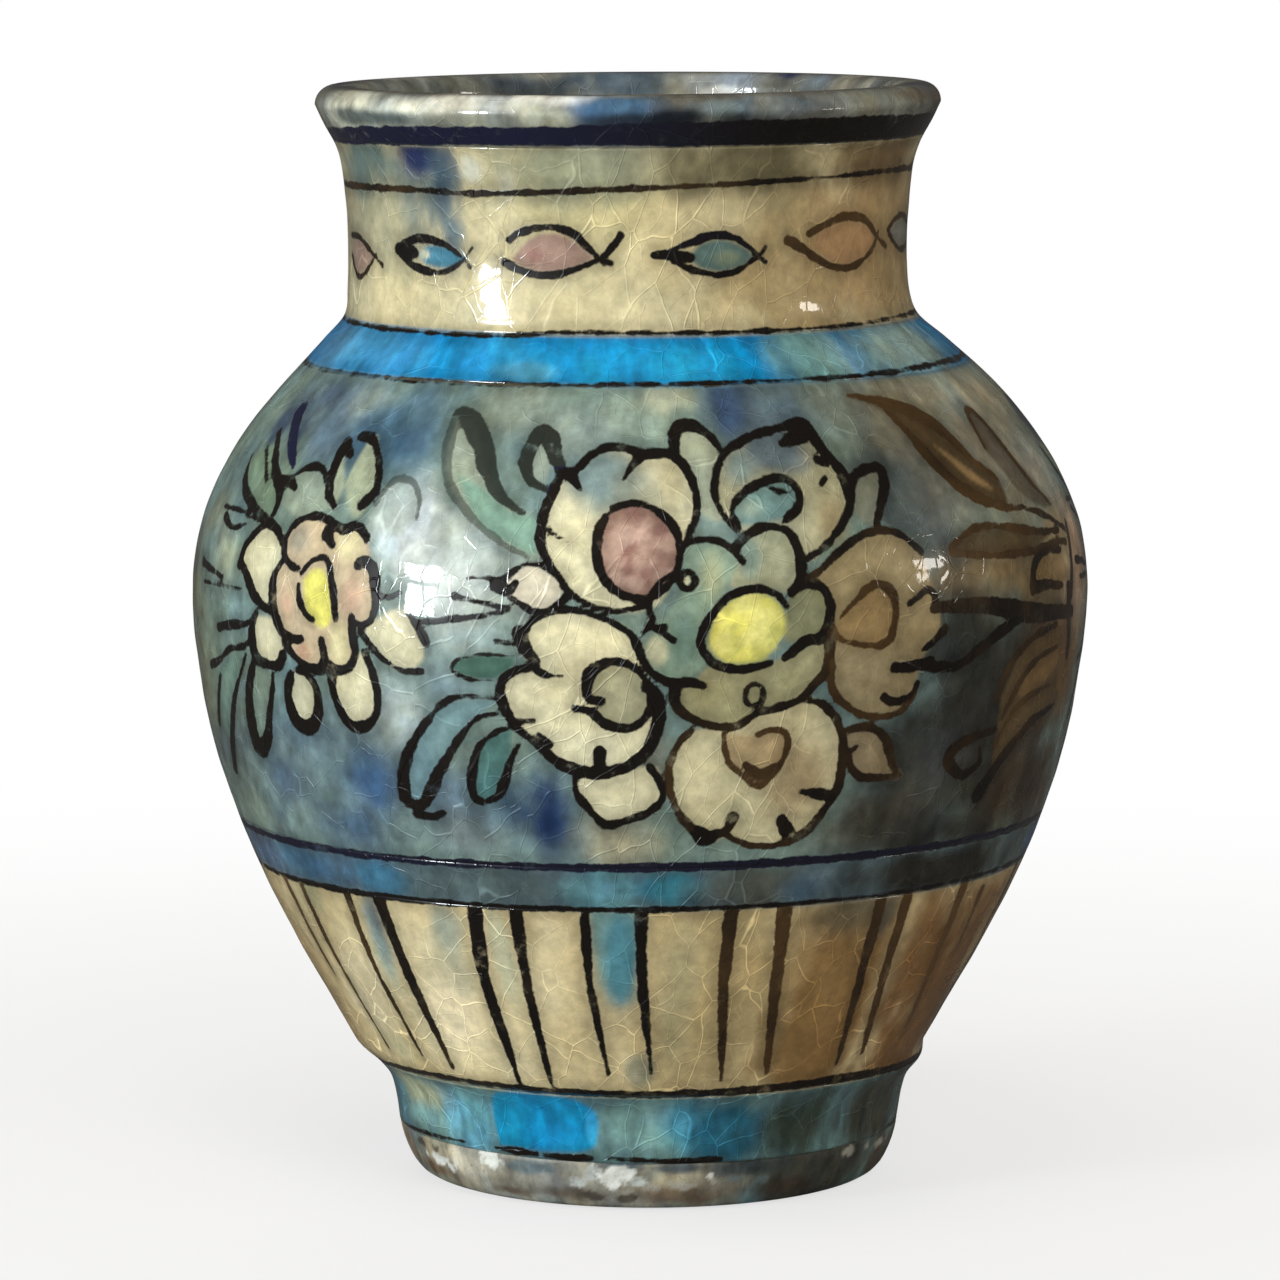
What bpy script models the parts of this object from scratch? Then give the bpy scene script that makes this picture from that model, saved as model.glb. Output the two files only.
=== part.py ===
"""Crackle glaze vase: a wheel-thrown pot of five luted clay sections, with a coat of glaze outside and inside."""

import math

import bmesh
import bpy

MM = 0.001

# Driving dimensions, in millimetres
HEIGHT = 200.0
SEGMENTS = 44
GLAZE = 0.7
GAP = 0.3
COVER = GLAZE + GAP

# Foot: the bare standing ring, the edge where the glaze stops, and the boss that the ring is luted round
BASE_RADIUS = 42.0
BASE_ROUND = [(0.8, 43.6), (2.9, 44.5), (6.2, 45.6)]
BARE_HEIGHT = 9.0
BARE_RADIUS = 46.1
BOSS_RADIUS = 35.5
BOSS_UNDERSIDE = 15.0
RECESS_CHAMFER = 1.2

# Joints between the thrown sections, and how much higher the inner edge of a bevelled seat is
FOOT_JOINT = 20.0
BELLY_JOINT = 104.0
NECK_JOINT = 157.5
RIM_JOINT = 188.5
SEAT_BEVEL = 2.0

# Rolled lip: two quarter rounds with a flat crest between them
LIP_RADIUS = 3.4
LIP_CENTRE_HEIGHT = HEIGHT - LIP_RADIUS
LIP_OUTER_CENTRE = 53.5
LIP_INNER_CENTRE = 50.6
LIP_CREST = 52.0
LIP_STEPS = 3

# The foot and the neck were set a little off the axis of the body
FOOT_SHIFT = 1.6
FOOT_BLEND = (FOOT_JOINT + 1.0, 25.0)
NECK_SHIFT = -2.2
NECK_BLEND = (145.0, 166.0)

# Outer glazed wall, as height and radius: foot, step into the body, belly, shoulder, waisted neck, underside of lip
OUTER_WALL = [
    (BARE_HEIGHT, BARE_RADIUS),
    (15.0, 47.1),
    (18.5, 48.3),
    (22.2, 51.3),
    (30.0, 55.8),
    (45.0, 64.2),
    (61.0, 71.8),
    (79.0, 77.9),
    (94.0, 80.7),
    (107.0, 81.9),
    (118.0, 80.9),
    (127.0, 77.9),
    (135.8, 73.0),
    (144.6, 66.0),
    (153.5, 57.1),
    (157.8, 52.7),
    (162.0, 51.5),
    (172.0, 51.1),
    (184.0, 51.9),
    (189.0, 53.1),
    (193.4, 55.4),
    (LIP_CENTRE_HEIGHT, LIP_OUTER_CENTRE + LIP_RADIUS),
]

# Inner glazed wall, as height and radius, from the curve above the floor to the lip
INNER_WALL = [
    (30.5, 40.0),
    (35.0, 47.0),
    (44.0, 54.8),
    (59.0, 63.6),
    (78.0, 70.9),
    (94.0, 74.2),
    (107.0, 75.4),
    (118.0, 74.3),
    (127.0, 71.3),
    (135.8, 66.2),
    (144.6, 59.0),
    (152.0, 51.3),
    (158.5, 46.4),
    (166.0, 45.2),
    (180.0, 45.3),
    (190.0, 46.2),
    (LIP_CENTRE_HEIGHT, LIP_INNER_CENTRE - LIP_RADIUS),
]
FLOOR_HEIGHT = 28.0
FLOOR_CURVE = [(28.9, 34.0)]

# Heights of the rings of vertices, section by section
FOOT_RINGS = [BARE_HEIGHT + GAP, 17.5]
LOWER_RINGS = [22.2, 25.5, 34.0, 46.0, 58.0, 70.0, 81.0, 92.0]
UPPER_RINGS = [113.0, 121.0, 129.0, 137.0, 145.0, 152.5]
NECK_RINGS = [160.5, 168.0, 180.0]
RIM_RINGS = [191.0, 193.8]
LOWER_INNER_RINGS = [30.5, 37.0, 48.0, 62.0, 76.0, 91.0]
UPPER_INNER_RINGS = [117.0, 128.0, 137.0, 146.0, 152.5]
NECK_INNER_RINGS = [168.0]

CLAY_COLOUR = (0.50, 0.37, 0.24, 1.0)
OUTER_GLAZE_COLOUR = (0.23, 0.29, 0.27, 1.0)
INNER_GLAZE_COLOUR = (0.52, 0.48, 0.35, 1.0)


def slope_of(wall, index):
    """Change of radius with height at one point of a wall."""
    below = wall[max(index - 1, 0)]
    above = wall[min(index + 1, len(wall) - 1)]
    return (above[1] - below[1]) / (above[0] - below[0])


def wall_at(wall, height):
    """Radius and slope of a wall's smooth curve at a height."""
    index = 0
    while index < len(wall) - 2 and wall[index + 1][0] < height:
        index += 1
    (low, low_radius), (high, high_radius) = wall[index], wall[index + 1]
    span = high - low
    t = (height - low) / span
    low_slope = slope_of(wall, index) * span
    high_slope = slope_of(wall, index + 1) * span
    rise = high_radius - low_radius
    c = 3 * rise - 2 * low_slope - high_slope
    d = low_slope + high_slope - 2 * rise
    radius = low_radius + low_slope * t + c * t**2 + d * t**3
    slope = (low_slope + 2 * c * t + 3 * d * t**2) / span
    return radius, slope


def outer_point(height, depth):
    """Point of the section (radius, height) at a depth under the outer glazed surface."""
    radius, slope = wall_at(OUTER_WALL, height)
    length = math.hypot(1.0, slope)
    return radius - depth / length, height + depth * slope / length


def inner_point(height, depth):
    """Point of the section at a depth under the inner glazed surface, into the clay."""
    radius, slope = wall_at(INNER_WALL, height)
    length = math.hypot(1.0, slope)
    return radius + depth / length, height - depth * slope / length


def outer_run(heights, depth):
    return [outer_point(height, depth) for height in heights]


def inner_run(heights, depth):
    """Inner wall from top to bottom."""
    return [inner_point(height, depth) for height in reversed(heights)]


def lip_run(depth):
    """Lip from its widest outer point over the crest to its inner side."""
    radius = LIP_RADIUS - depth
    turn = [math.pi / 2 * step / LIP_STEPS for step in range(LIP_STEPS + 1)]
    rise = [radius * math.sin(angle) + LIP_CENTRE_HEIGHT for angle in turn]
    reach = [radius * math.cos(angle) for angle in turn]
    outer = [(LIP_OUTER_CENTRE + x, z) for x, z in zip(reach, rise)]
    inner = [(LIP_INNER_CENTRE - x, z) for x, z in zip(reach, rise)]
    return outer, inner[::-1]


def floor_run(depth):
    """Inside floor from the wall to the axis."""
    curve = [(radius, height - depth) for height, radius in FLOOR_CURVE]
    return curve + [(0.0, FLOOR_HEIGHT - depth)]


def seat(joint, side):
    """Bevelled seat of a joint, outer end then inner end; side is -1 for the section below and 1 for the one above."""
    shift = side * GAP / 2
    return outer_point(joint + shift, COVER), inner_point(joint + SEAT_BEVEL + shift, COVER)


def foot_section():
    bare = [(radius, height) for height, radius in BASE_ROUND]
    top = FOOT_JOINT - GAP / 2
    bore = BOSS_RADIUS + GAP
    outer = [(BASE_RADIUS, 0.0)] + bare + [(BARE_RADIUS, BARE_HEIGHT)]
    covered = [(outer_point(BARE_HEIGHT, COVER)[0], BARE_HEIGHT)] + outer_run(FOOT_RINGS[1:], COVER)
    shoulder = [outer_point(top, COVER), (bore, top)]
    recess = [(bore, RECESS_CHAMFER), (bore + RECESS_CHAMFER, 0.0)]
    return outer + covered + shoulder + recess


def lower_section():
    bottom = FOOT_JOINT + GAP / 2
    boss = [(0.0, BOSS_UNDERSIDE), (BOSS_RADIUS, BOSS_UNDERSIDE), (BOSS_RADIUS, bottom)]
    outer = outer_run([bottom] + LOWER_RINGS, COVER)
    inner = inner_run(LOWER_INNER_RINGS, COVER)
    return boss + outer + list(seat(BELLY_JOINT, -1)) + inner + floor_run(COVER)


def ring_section(low_joint, outer_rings, high_joint, inner_rings):
    """A thrown ring between two bevelled seats."""
    low_outer, low_inner = seat(low_joint, 1)
    outer = outer_run(outer_rings, COVER)
    inner = inner_run(inner_rings, COVER)
    return [low_outer] + outer + list(seat(high_joint, -1)) + inner + [low_inner]


def rim_section():
    low_outer, low_inner = seat(RIM_JOINT, 1)
    lip_outer, lip_inner = lip_run(COVER)
    return [low_outer] + outer_run(RIM_RINGS, COVER) + lip_outer + lip_inner + [low_inner]


def outer_glaze_section():
    """Coat from the edge above the bare foot to the crest of the lip."""
    joints = [FOOT_JOINT, BELLY_JOINT, NECK_JOINT, RIM_JOINT]
    rings = sorted(FOOT_RINGS + LOWER_RINGS + UPPER_RINGS + NECK_RINGS + RIM_RINGS + joints)
    edge = LIP_CREST + GAP / 2
    outside = outer_run(rings, 0.0) + lip_run(0.0)[0] + [(edge, HEIGHT)]
    inside = outer_run(rings, GLAZE) + lip_run(GLAZE)[0] + [(edge, HEIGHT - GLAZE)]
    return outside + inside[::-1]


def inner_glaze_section():
    """Coat from the crest of the lip down to the inside floor."""
    joints = [joint + SEAT_BEVEL for joint in (BELLY_JOINT, NECK_JOINT, RIM_JOINT)]
    rings = sorted(LOWER_INNER_RINGS + UPPER_INNER_RINGS + NECK_INNER_RINGS + joints)
    edge = LIP_CREST - GAP / 2
    hollow = [(edge, HEIGHT)] + lip_run(0.0)[1] + inner_run(rings, 0.0) + floor_run(0.0)
    hidden = [(edge, HEIGHT - GLAZE)] + lip_run(GLAZE)[1] + inner_run(rings, GLAZE) + floor_run(GLAZE)
    return hidden[::-1] + hollow


def blend(height, limits):
    t = (height - limits[0]) / (limits[1] - limits[0])
    t = min(max(t, 0.0), 1.0)
    return t * t * (3 - 2 * t)


def shift_at(height):
    """Sideways shift of the pot's centre at a height."""
    foot = FOOT_SHIFT * (1 - blend(height, FOOT_BLEND))
    neck = NECK_SHIFT * blend(height, NECK_BLEND)
    return foot + neck


def glossy_material(name, colour, roughness):
    material = bpy.data.materials.new(name)
    material.use_nodes = True
    surface = material.node_tree.nodes["Principled BSDF"]
    surface.inputs["Base Color"].default_value = colour
    surface.inputs["Roughness"].default_value = roughness
    return material


def turned(name, section, origin, material):
    """Solid of revolution of a section, with its centre following the pot's lean; the origin is a height."""
    shape = bmesh.new()
    points = [shape.verts.new((radius * MM, 0.0, height * MM)) for radius, height in section]
    for first, second in zip(points, points[1:]):
        shape.edges.new((first, second))
    if section[0][0] > 0:
        shape.edges.new((points[-1], points[0]))
    outline = shape.verts[:] + shape.edges[:]
    turn = {"cent": (0, 0, 0), "axis": (0, 0, 1), "angle": math.tau, "steps": SEGMENTS}
    bmesh.ops.spin(shape, geom=outline, use_merge=True, **turn)
    bmesh.ops.remove_doubles(shape, verts=shape.verts[:], dist=1e-7)
    for vertex in shape.verts:
        vertex.co.x += shift_at(vertex.co.z / MM) * MM
        vertex.co.z -= origin * MM
    bmesh.ops.recalc_face_normals(shape, faces=shape.faces[:])
    mesh = bpy.data.meshes.new(name)
    shape.to_mesh(mesh)
    shape.free()
    mesh.shade_smooth()
    mesh.set_sharp_from_angle(angle=math.radians(40))
    mesh.materials.append(material)
    solid = bpy.data.objects.new(name, mesh)
    solid.location.z = origin * MM
    bpy.context.scene.collection.objects.link(solid)
    return solid


def build():
    for existing in list(bpy.data.objects):
        bpy.data.objects.remove(existing)
    clay = glossy_material("clay", CLAY_COLOUR, 0.85)
    outer = glossy_material("outer_glaze", OUTER_GLAZE_COLOUR, 0.2)
    inner = glossy_material("inner_glaze", INNER_GLAZE_COLOUR, 0.3)
    shoulder = ring_section(BELLY_JOINT, UPPER_RINGS, NECK_JOINT, UPPER_INNER_RINGS)
    collar = ring_section(NECK_JOINT, NECK_RINGS, RIM_JOINT, NECK_INNER_RINGS)
    turned("foot_ring", foot_section(), 0.0, clay)
    turned("lower_body", lower_section(), FOOT_JOINT, clay)
    turned("upper_body", shoulder, BELLY_JOINT, clay)
    turned("neck", collar, NECK_JOINT, clay)
    turned("rim", rim_section(), RIM_JOINT, clay)
    turned("outer_glaze", outer_glaze_section(), 0.0, outer)
    turned("inner_glaze", inner_glaze_section(), 0.0, inner)


build()
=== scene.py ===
"""Looks of the crackle glaze vase: painted glaze bands, worn foot, inside glaze, studio and camera."""

import math

import bmesh
import bpy
import numpy as np
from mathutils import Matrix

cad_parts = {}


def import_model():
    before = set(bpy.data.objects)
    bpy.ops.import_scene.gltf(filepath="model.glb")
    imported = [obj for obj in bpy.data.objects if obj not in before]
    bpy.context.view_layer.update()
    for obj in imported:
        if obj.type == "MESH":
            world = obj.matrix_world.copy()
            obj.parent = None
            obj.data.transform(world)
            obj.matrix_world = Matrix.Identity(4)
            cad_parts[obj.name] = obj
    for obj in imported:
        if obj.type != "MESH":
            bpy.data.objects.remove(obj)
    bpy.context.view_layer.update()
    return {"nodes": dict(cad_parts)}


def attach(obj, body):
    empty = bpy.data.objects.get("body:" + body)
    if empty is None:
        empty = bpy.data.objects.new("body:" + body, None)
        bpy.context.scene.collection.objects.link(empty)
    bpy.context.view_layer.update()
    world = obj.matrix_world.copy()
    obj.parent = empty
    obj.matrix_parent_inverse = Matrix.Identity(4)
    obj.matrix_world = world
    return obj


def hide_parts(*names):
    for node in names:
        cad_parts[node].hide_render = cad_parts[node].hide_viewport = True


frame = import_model()

MM = 0.001
HEIGHT = 200.0

# Walls of the pot, as height and radius in millimetres, as the CAD solids have them
OUTER_WALL = [
    (9.0, 46.1), (15.0, 47.1), (18.5, 48.3), (22.2, 51.3), (30.0, 55.8), (45.0, 64.2), (61.0, 71.8),
    (79.0, 77.9), (94.0, 80.7), (107.0, 81.9), (118.0, 80.9), (127.0, 77.9), (135.8, 73.0), (144.6, 66.0),
    (153.5, 57.1), (157.8, 52.7), (162.0, 51.5), (172.0, 51.1), (184.0, 51.9), (189.0, 53.1), (193.4, 55.4),
    (196.6, 56.9),
]
INNER_WALL = [
    (30.5, 40.0), (35.0, 47.0), (44.0, 54.8), (59.0, 63.6), (78.0, 70.9), (94.0, 74.2), (107.0, 75.4),
    (118.0, 74.3), (127.0, 71.3), (135.8, 66.2), (144.6, 59.0), (152.0, 51.3), (158.5, 46.4), (166.0, 45.2),
    (180.0, 45.3), (190.0, 46.2), (196.6, 47.2),
]

# Inside floor from under its wall to its centre, as radius and height
FLOOR_EDGE = INNER_WALL[0][0]
FLOOR_CURVE = [
    (38.0, 29.8), (34.0, 28.9), (26.0, 28.5), (16.0, 28.2), (8.0, 28.05), (3.0, 28.0), (0.05, 28.0),
]

# Bare foot from its recess over the standing ring to the glaze, as radius and height, and its hidden top
FOOT_CORNERS = [
    (36.0, 14.6), (35.8, 13.0), (35.8, 2.0), (36.1, 0.9), (36.9, 0.15), (38.0, 0.0), (40.0, 0.0),
    (41.4, 0.25), (42.5, 0.9), (43.4, 1.9), (44.1, 3.1), (44.8, 4.6), (45.4, 6.2), (45.8, 7.6),
    (46.1, 9.0),
]
FOOT_TOP = [(45.0, 10.5), (46.6, 18.5), (36.0, 18.5)]
FOOT_STEP = 0.5
FOOT_OUTSIDE = 40.5
FOOT_WORN = 42.0
FOOT_WORN_TOP = 9.5

# Rolled lip, thickness of the glaze, and the pot's lean and shifts
LIP_RADIUS = 3.4
LIP_HEIGHT = HEIGHT - LIP_RADIUS
LIP_OUTER = 53.5
LIP_INNER = 50.6
CREST_STEPS = 4
COAT = 0.65
RIM_TILT = 0.3
TILT_SPAN = (150.0, 190.0)
FOOT_SHIFT = 1.6
FOOT_BLEND = (21.0, 25.0)
NECK_SHIFT = -2.2
NECK_BLEND = (145.0, 166.0)

# Depths in millimetres of the wall's unevenness, and of the wear and chips at the foot's edge
SWELL_SLOW = 0.16
SWELL_QUICK = 0.10
DENT = 0.06
RING = 0.012
EDGE_WAVE = 0.16
EDGE_NICK = 0.10
CHIP_DEPTH = 0.32

# Heights where one painted zone ends and the next begins
BARE_EDGE = 9.3
FOOT_LINE = 22.4
WALL_LINE = 59.2
BELLY_LINE = 67.2
BAND_LINE = 150.0
NECK_LINE = 158.0
LIP_LINE = 190.8
MOUTH_LINE = 186.0
ZONE_LINES = (FOOT_LINE, WALL_LINE, BELLY_LINE, BAND_LINE, NECK_LINE, LIP_LINE)

# Slack in millimetres when a height is compared with the lip's
LEVEL_SLACK = 0.1

# Paint colours as seen on the glaze, 0 to 255
CREAM = (204, 192, 150)
PETAL = (219, 212, 174)
BUFF = (202, 184, 138)
GREY_GREEN = (118, 140, 132)
NAVY = (22, 26, 52)
TURQUOISE = (0, 132, 188)
TEAL = (142, 166, 144)
SKY = (116, 152, 158)
ROSE = (152, 120, 104)
YELLOW = (226, 220, 112)
INK = (20, 16, 13)
INK_BROWN = (84, 61, 29)
INK_THIN = (38, 42, 36)
BISCUIT = (150, 128, 100)

# Steps in degrees round the pot, closer together on the front, which reaches this far to each side
FRONT_EDGE = 95.0
FRONT_STEP = 0.4
BACK_STEP = 0.95
INSIDE_TURN = 2.0
FOOT_TURN = 0.6

# Rows of the inside coat in millimetres, and its share of the wall's unevenness
INSIDE_STEP = 1.6
INSIDE_UNEVEN = 0.6

# Uneven pigment: cells round the pot, height of a cell in millimetres, and seed
BLOT = (30, 14.0, 11)
STREAK = (64, 40.0, 23)
CRUMBS = (170, 2.0, 77)
FINE_GRAIN = (150, 3.4, 41)
RUNS = (130, 16.0, 57)
WARMTH = (44, 9.0, 91)
WARM_SHIFT = (0.35, 0.05, -0.5)
OCTAVES = 4
OCTAVE_FADE = 0.6
TOP_LEVEL = 230.0
CALM_ZONES = 0.72
GRAIN_LIMITS = (0.35, 1.5)

# How far blots, streaks and crumbs move a wash's edge, and how far it reaches before they do
BLOT_PULL = 0.9
STREAK_PULL = 0.42
CRUMB_PULL = 1.9
WASH_REACH = 0.88

# Millimetres in a degree round the belly, for lengths along a path
DEGREE_LENGTH = 1.35

# Steps between two given points of a path
CURVE_STEPS = 6

# Distance stored where no brush line is near, in millimetres; it is positive inside a line
NO_INK = -3.0


def linear(colour):
    """Scene-linear values of a colour given in display values from 0 to 255."""
    share = np.asarray(colour, float) / 255.0
    return np.where(share <= 0.04045, share / 12.92, ((share + 0.055) / 1.055) ** 2.4)


def smooth_step(value, low, high):
    share = np.clip((value - low) / (high - low), 0.0, 1.0)
    return share * share * (3 - 2 * share)


# Shape of the pot

def wall_radius(wall, heights):
    """Radius of a wall's smooth curve at each height."""
    knots = np.array(wall)
    height, radius = knots[:, 0], knots[:, 1]
    slope = np.empty_like(radius)
    slope[1:-1] = (radius[2:] - radius[:-2]) / (height[2:] - height[:-2])
    slope[0] = (radius[1] - radius[0]) / (height[1] - height[0])
    slope[-1] = (radius[-1] - radius[-2]) / (height[-1] - height[-2])
    index = np.clip(np.searchsorted(height, heights, side="right") - 1, 0, len(height) - 2)
    span = height[index + 1] - height[index]
    t = (heights - height[index]) / span
    rise = radius[index + 1] - radius[index]
    start, end = slope[index] * span, slope[index + 1] * span
    return radius[index] + start * t + (3 * rise - 2 * start - end) * t**2 + (start + end - 2 * rise) * t**3


def centre_shift(heights):
    """Sideways shift of the pot's centre, from the off-centre foot and neck."""
    foot = FOOT_SHIFT * (1 - smooth_step(heights, *FOOT_BLEND))
    return foot + NECK_SHIFT * smooth_step(heights, *NECK_BLEND)


def relief(degrees, heights):
    """Hand-thrown unevenness of the wall in millimetres: swells, shallow dents and turning rings."""
    turn = np.radians(degrees)
    swell = SWELL_SLOW * np.sin(2 * turn + heights * 0.05)
    swell = swell + SWELL_QUICK * np.sin(3 * turn - heights * 0.08 + 1.0)
    dents = DENT * np.sin(7 * turn + heights * 0.21) * np.sin(heights * 0.33 + 2 * turn)
    rings = RING * np.sin(heights * 1.1 + 1.3 * np.sin(turn))
    return swell + dents + rings


def wall_section(low, high, step):
    heights = np.linspace(low, high, max(int(round((high - low) / step)), 2) + 1)
    return np.column_stack([wall_radius(OUTER_WALL, heights), heights])


def lip_section(step):
    """From the line under the lip over the crest and down into the mouth."""
    outside = wall_section(LIP_LINE, LIP_HEIGHT, step)[:-1]
    count = int(math.pi / 2 * LIP_RADIUS / step)
    turn = np.linspace(0, math.pi / 2, count + 1)
    rise = LIP_HEIGHT + LIP_RADIUS * np.sin(turn)
    outer = np.column_stack([LIP_OUTER + LIP_RADIUS * np.cos(turn), rise])
    inner = np.column_stack([LIP_INNER - LIP_RADIUS * np.cos(turn), rise])[::-1]
    across = np.linspace(LIP_OUTER, LIP_INNER, CREST_STEPS + 2)[1:-1]
    crest = np.column_stack([across, np.full(CREST_STEPS, HEIGHT)])
    down = np.linspace(LIP_HEIGHT, MOUTH_LINE, int((LIP_HEIGHT - MOUTH_LINE) / step) + 1)[1:]
    mouth = np.column_stack([wall_radius(INNER_WALL, down), down])
    return np.vstack([outside, outer, crest, inner, mouth])


def inside_section(step):
    """From the mouth down the inside wall to the floor's centre."""
    heights = np.linspace(MOUTH_LINE, FLOOR_EDGE, int((MOUTH_LINE - FLOOR_EDGE) / step) + 1)
    wall = np.column_stack([wall_radius(INNER_WALL, heights), heights])
    return np.vstack([wall, np.array(FLOOR_CURVE)])


def foot_section():
    """Bare foot, finely stepped: worn outer edge, standing ring and the turned recess."""
    corners = np.array(FOOT_CORNERS)
    spans = np.hypot(np.diff(corners[:, 0]), np.diff(corners[:, 1]))
    length = np.concatenate([[0.0], np.cumsum(spans)])
    even = np.linspace(0.0, length[-1], int(length[-1] / FOOT_STEP) + 1)
    return np.column_stack([np.interp(even, length, side) for side in corners.T])


def paint_levels(section):
    """Heights as the painting counts them: past the lip's edge they go on rising into the mouth."""
    levels = section[:, 1].copy()
    if levels.max() < HEIGHT - LEVEL_SLACK:
        return levels
    steps = np.hypot(np.diff(section[:, 0]), np.diff(section[:, 1]))
    along = np.concatenate([[0.0], np.cumsum(steps)])
    start = int(np.argmax(levels > LIP_HEIGHT - LEVEL_SLACK))
    levels[start:] = levels[start] + along[start:] - along[start]
    return levels


def columns():
    """Angles round the pot, closer together on the painted front."""
    front = np.arange(-FRONT_EDGE, FRONT_EDGE, FRONT_STEP)
    back = np.arange(FRONT_EDGE, 360.0 - FRONT_EDGE, BACK_STEP)
    return np.concatenate([front, back])


def section_normals(section):
    along = np.gradient(section, axis=0)
    along /= np.linalg.norm(along, axis=1)[:, None]
    return np.column_stack([along[:, 1], -along[:, 0]])


def turned_points(section, degrees, uneven):
    """Points of a section turned round the pot, with the wall's unevenness and the rim's slight tilt."""
    turn = np.radians(degrees)[None, :]
    radius, height = section[:, 0][:, None], section[:, 1][:, None]
    radius = radius + uneven * relief(degrees[None, :], height)
    x = centre_shift(height) + radius * np.sin(turn)
    y = -radius * np.cos(turn)
    z = height + RIM_TILT * smooth_step(height, *TILT_SPAN) * np.sin(turn)
    return np.stack([x, y, z], axis=-1) * MM


def ring_faces(rows, count, closed):
    """Quads between the rows of a turned grid; a closed grid also joins its last row to its first."""
    row = np.arange(rows if closed else rows - 1)[:, None]
    column = np.arange(count)[None, :]
    after = (column + 1) % count
    above = (row + 1) % rows
    corners = [row * count + column, row * count + after, above * count + after, above * count + column]
    return np.stack([np.broadcast_to(c, (len(row), count)) for c in corners], axis=-1).reshape(-1, 4)


def mesh_object(name, points, faces, material):
    mesh = bpy.data.meshes.new(name)
    mesh.vertices.add(len(points))
    mesh.vertices.foreach_set("co", points.astype(np.float32).ravel())
    mesh.loops.add(faces.size)
    mesh.loops.foreach_set("vertex_index", faces.astype(np.int32).ravel())
    mesh.polygons.add(len(faces))
    mesh.polygons.foreach_set("loop_start", np.arange(0, faces.size, faces.shape[1], dtype=np.int32))
    mesh.update(calc_edges=True)
    mesh.validate()
    mesh.shade_smooth()
    mesh.materials.append(material)
    piece = bpy.data.objects.new(name, mesh)
    bpy.context.scene.collection.objects.link(piece)
    return piece


def coat_mesh(name, section, degrees, uneven, material, back_every=3):
    """Closed coat of glaze on a section: its shown face, and a back face under it with fewer rows."""
    normals = section_normals(section)
    kept = max(len(section) // back_every, 2)
    picks = np.unique(np.linspace(0, len(section) - 1, kept).astype(int))[::-1]
    back = section[picks] - COAT * normals[picks]
    whole = np.vstack([section, back])
    points = turned_points(whole, degrees, uneven)
    faces = ring_faces(len(whole), len(degrees), closed=True)
    piece = mesh_object(name, points.reshape(-1, 3), faces, material)
    lay_out(piece, len(section), len(whole), len(degrees))
    return piece


# Strips of the bake layout: their heights, and where the front half's and the back half's begin
SHOWN_TALL = 0.46
SHOWN_FRONT = 0.54
SHOWN_BACK = 0.06
HIDDEN_TALL = 0.02
HIDDEN_FRONT = 0.03
HIDDEN_BACK = 0.0


def lay_out(piece, shown_rows, rows, count):
    """Bake layout: the front half above the back half, and the hidden face in a strip below."""
    face_row = np.repeat(np.arange(rows), count)
    face_column = np.tile(np.arange(count), rows)
    corner_row = np.stack([face_row, face_row, face_row + 1, face_row + 1], axis=-1)
    corner_column = np.stack([face_column, face_column + 1, face_column + 1, face_column], axis=-1)
    half = (count + 1) // 2
    second = (face_column >= half)[:, None]
    u = np.where(second, corner_column - half, corner_column) / half
    shown = (face_row < shown_rows - 1)[:, None]
    v_shown = corner_row / (shown_rows - 1) * SHOWN_TALL + np.where(second, SHOWN_BACK, SHOWN_FRONT)
    below = (corner_row - shown_rows + 1) / (rows - shown_rows + 1)
    v_hidden = below * HIDDEN_TALL + np.where(second, HIDDEN_BACK, HIDDEN_FRONT)
    v = np.where(shown, v_shown, v_hidden)
    layer = piece.data.uv_layers.new(name="OFBake")
    layer.data.foreach_set("uv", np.stack([u, v], axis=-1).astype(np.float32).ravel())


# Painting: brush strokes and washes in degrees round the pot and millimetres of height

def curve(points):
    """Smooth path through given points."""
    knots = np.array(points, float)
    ends = np.vstack([2 * knots[0] - knots[1], knots, 2 * knots[-1] - knots[-2]])
    path = []
    for a, b, c, d in zip(ends, ends[1:], ends[2:], ends[3:]):
        for t in np.arange(CURVE_STEPS) / CURVE_STEPS:
            path.append(0.5 * (2 * b + (c - a) * t + (2 * a - 5 * b + 4 * c - d) * t**2
                               + (3 * b - a - 3 * c + d) * t**3))
    path.append(knots[-1])
    return np.array(path)


def stroke(width, *points, tone=0.0):
    """Brush line; width and tone are one value each, or values from start to end."""
    return {"kind": "stroke", "width": width, "path": curve(points), "tone": tone}


def fill(colour, strength, *points):
    """Flat colour inside a closed outline."""
    return {"kind": "fill", "colour": colour, "strength": strength, "path": curve(points + (points[0],))}


def oval(colour, strength, centre, reach, soft=0.5, crumbled=False):
    """Wash in an oval; soft is the share of it that fades, and a crumbled one has a broken edge."""
    return {"kind": "oval", "colour": colour, "strength": strength, "centre": centre, "reach": reach,
            "soft": soft, "crumbled": crumbled}


def grain(strength):
    """Uneven pigment over all that is painted so far."""
    return {"kind": "grain", "strength": strength}


def washes(spots, soft):
    """Ovals from a list of centre, reach, colour and strength."""
    return [oval(colour, strength, centre, reach, soft) for centre, reach, colour, strength in spots]


def circle(width, centre, reach, tone=0.0):
    turn = np.linspace(0, math.tau, 9)
    points = [(centre[0] + reach[0] * math.cos(a), centre[1] + reach[1] * math.sin(a)) for a in turn]
    return stroke(width, *points, tone=tone)


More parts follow.
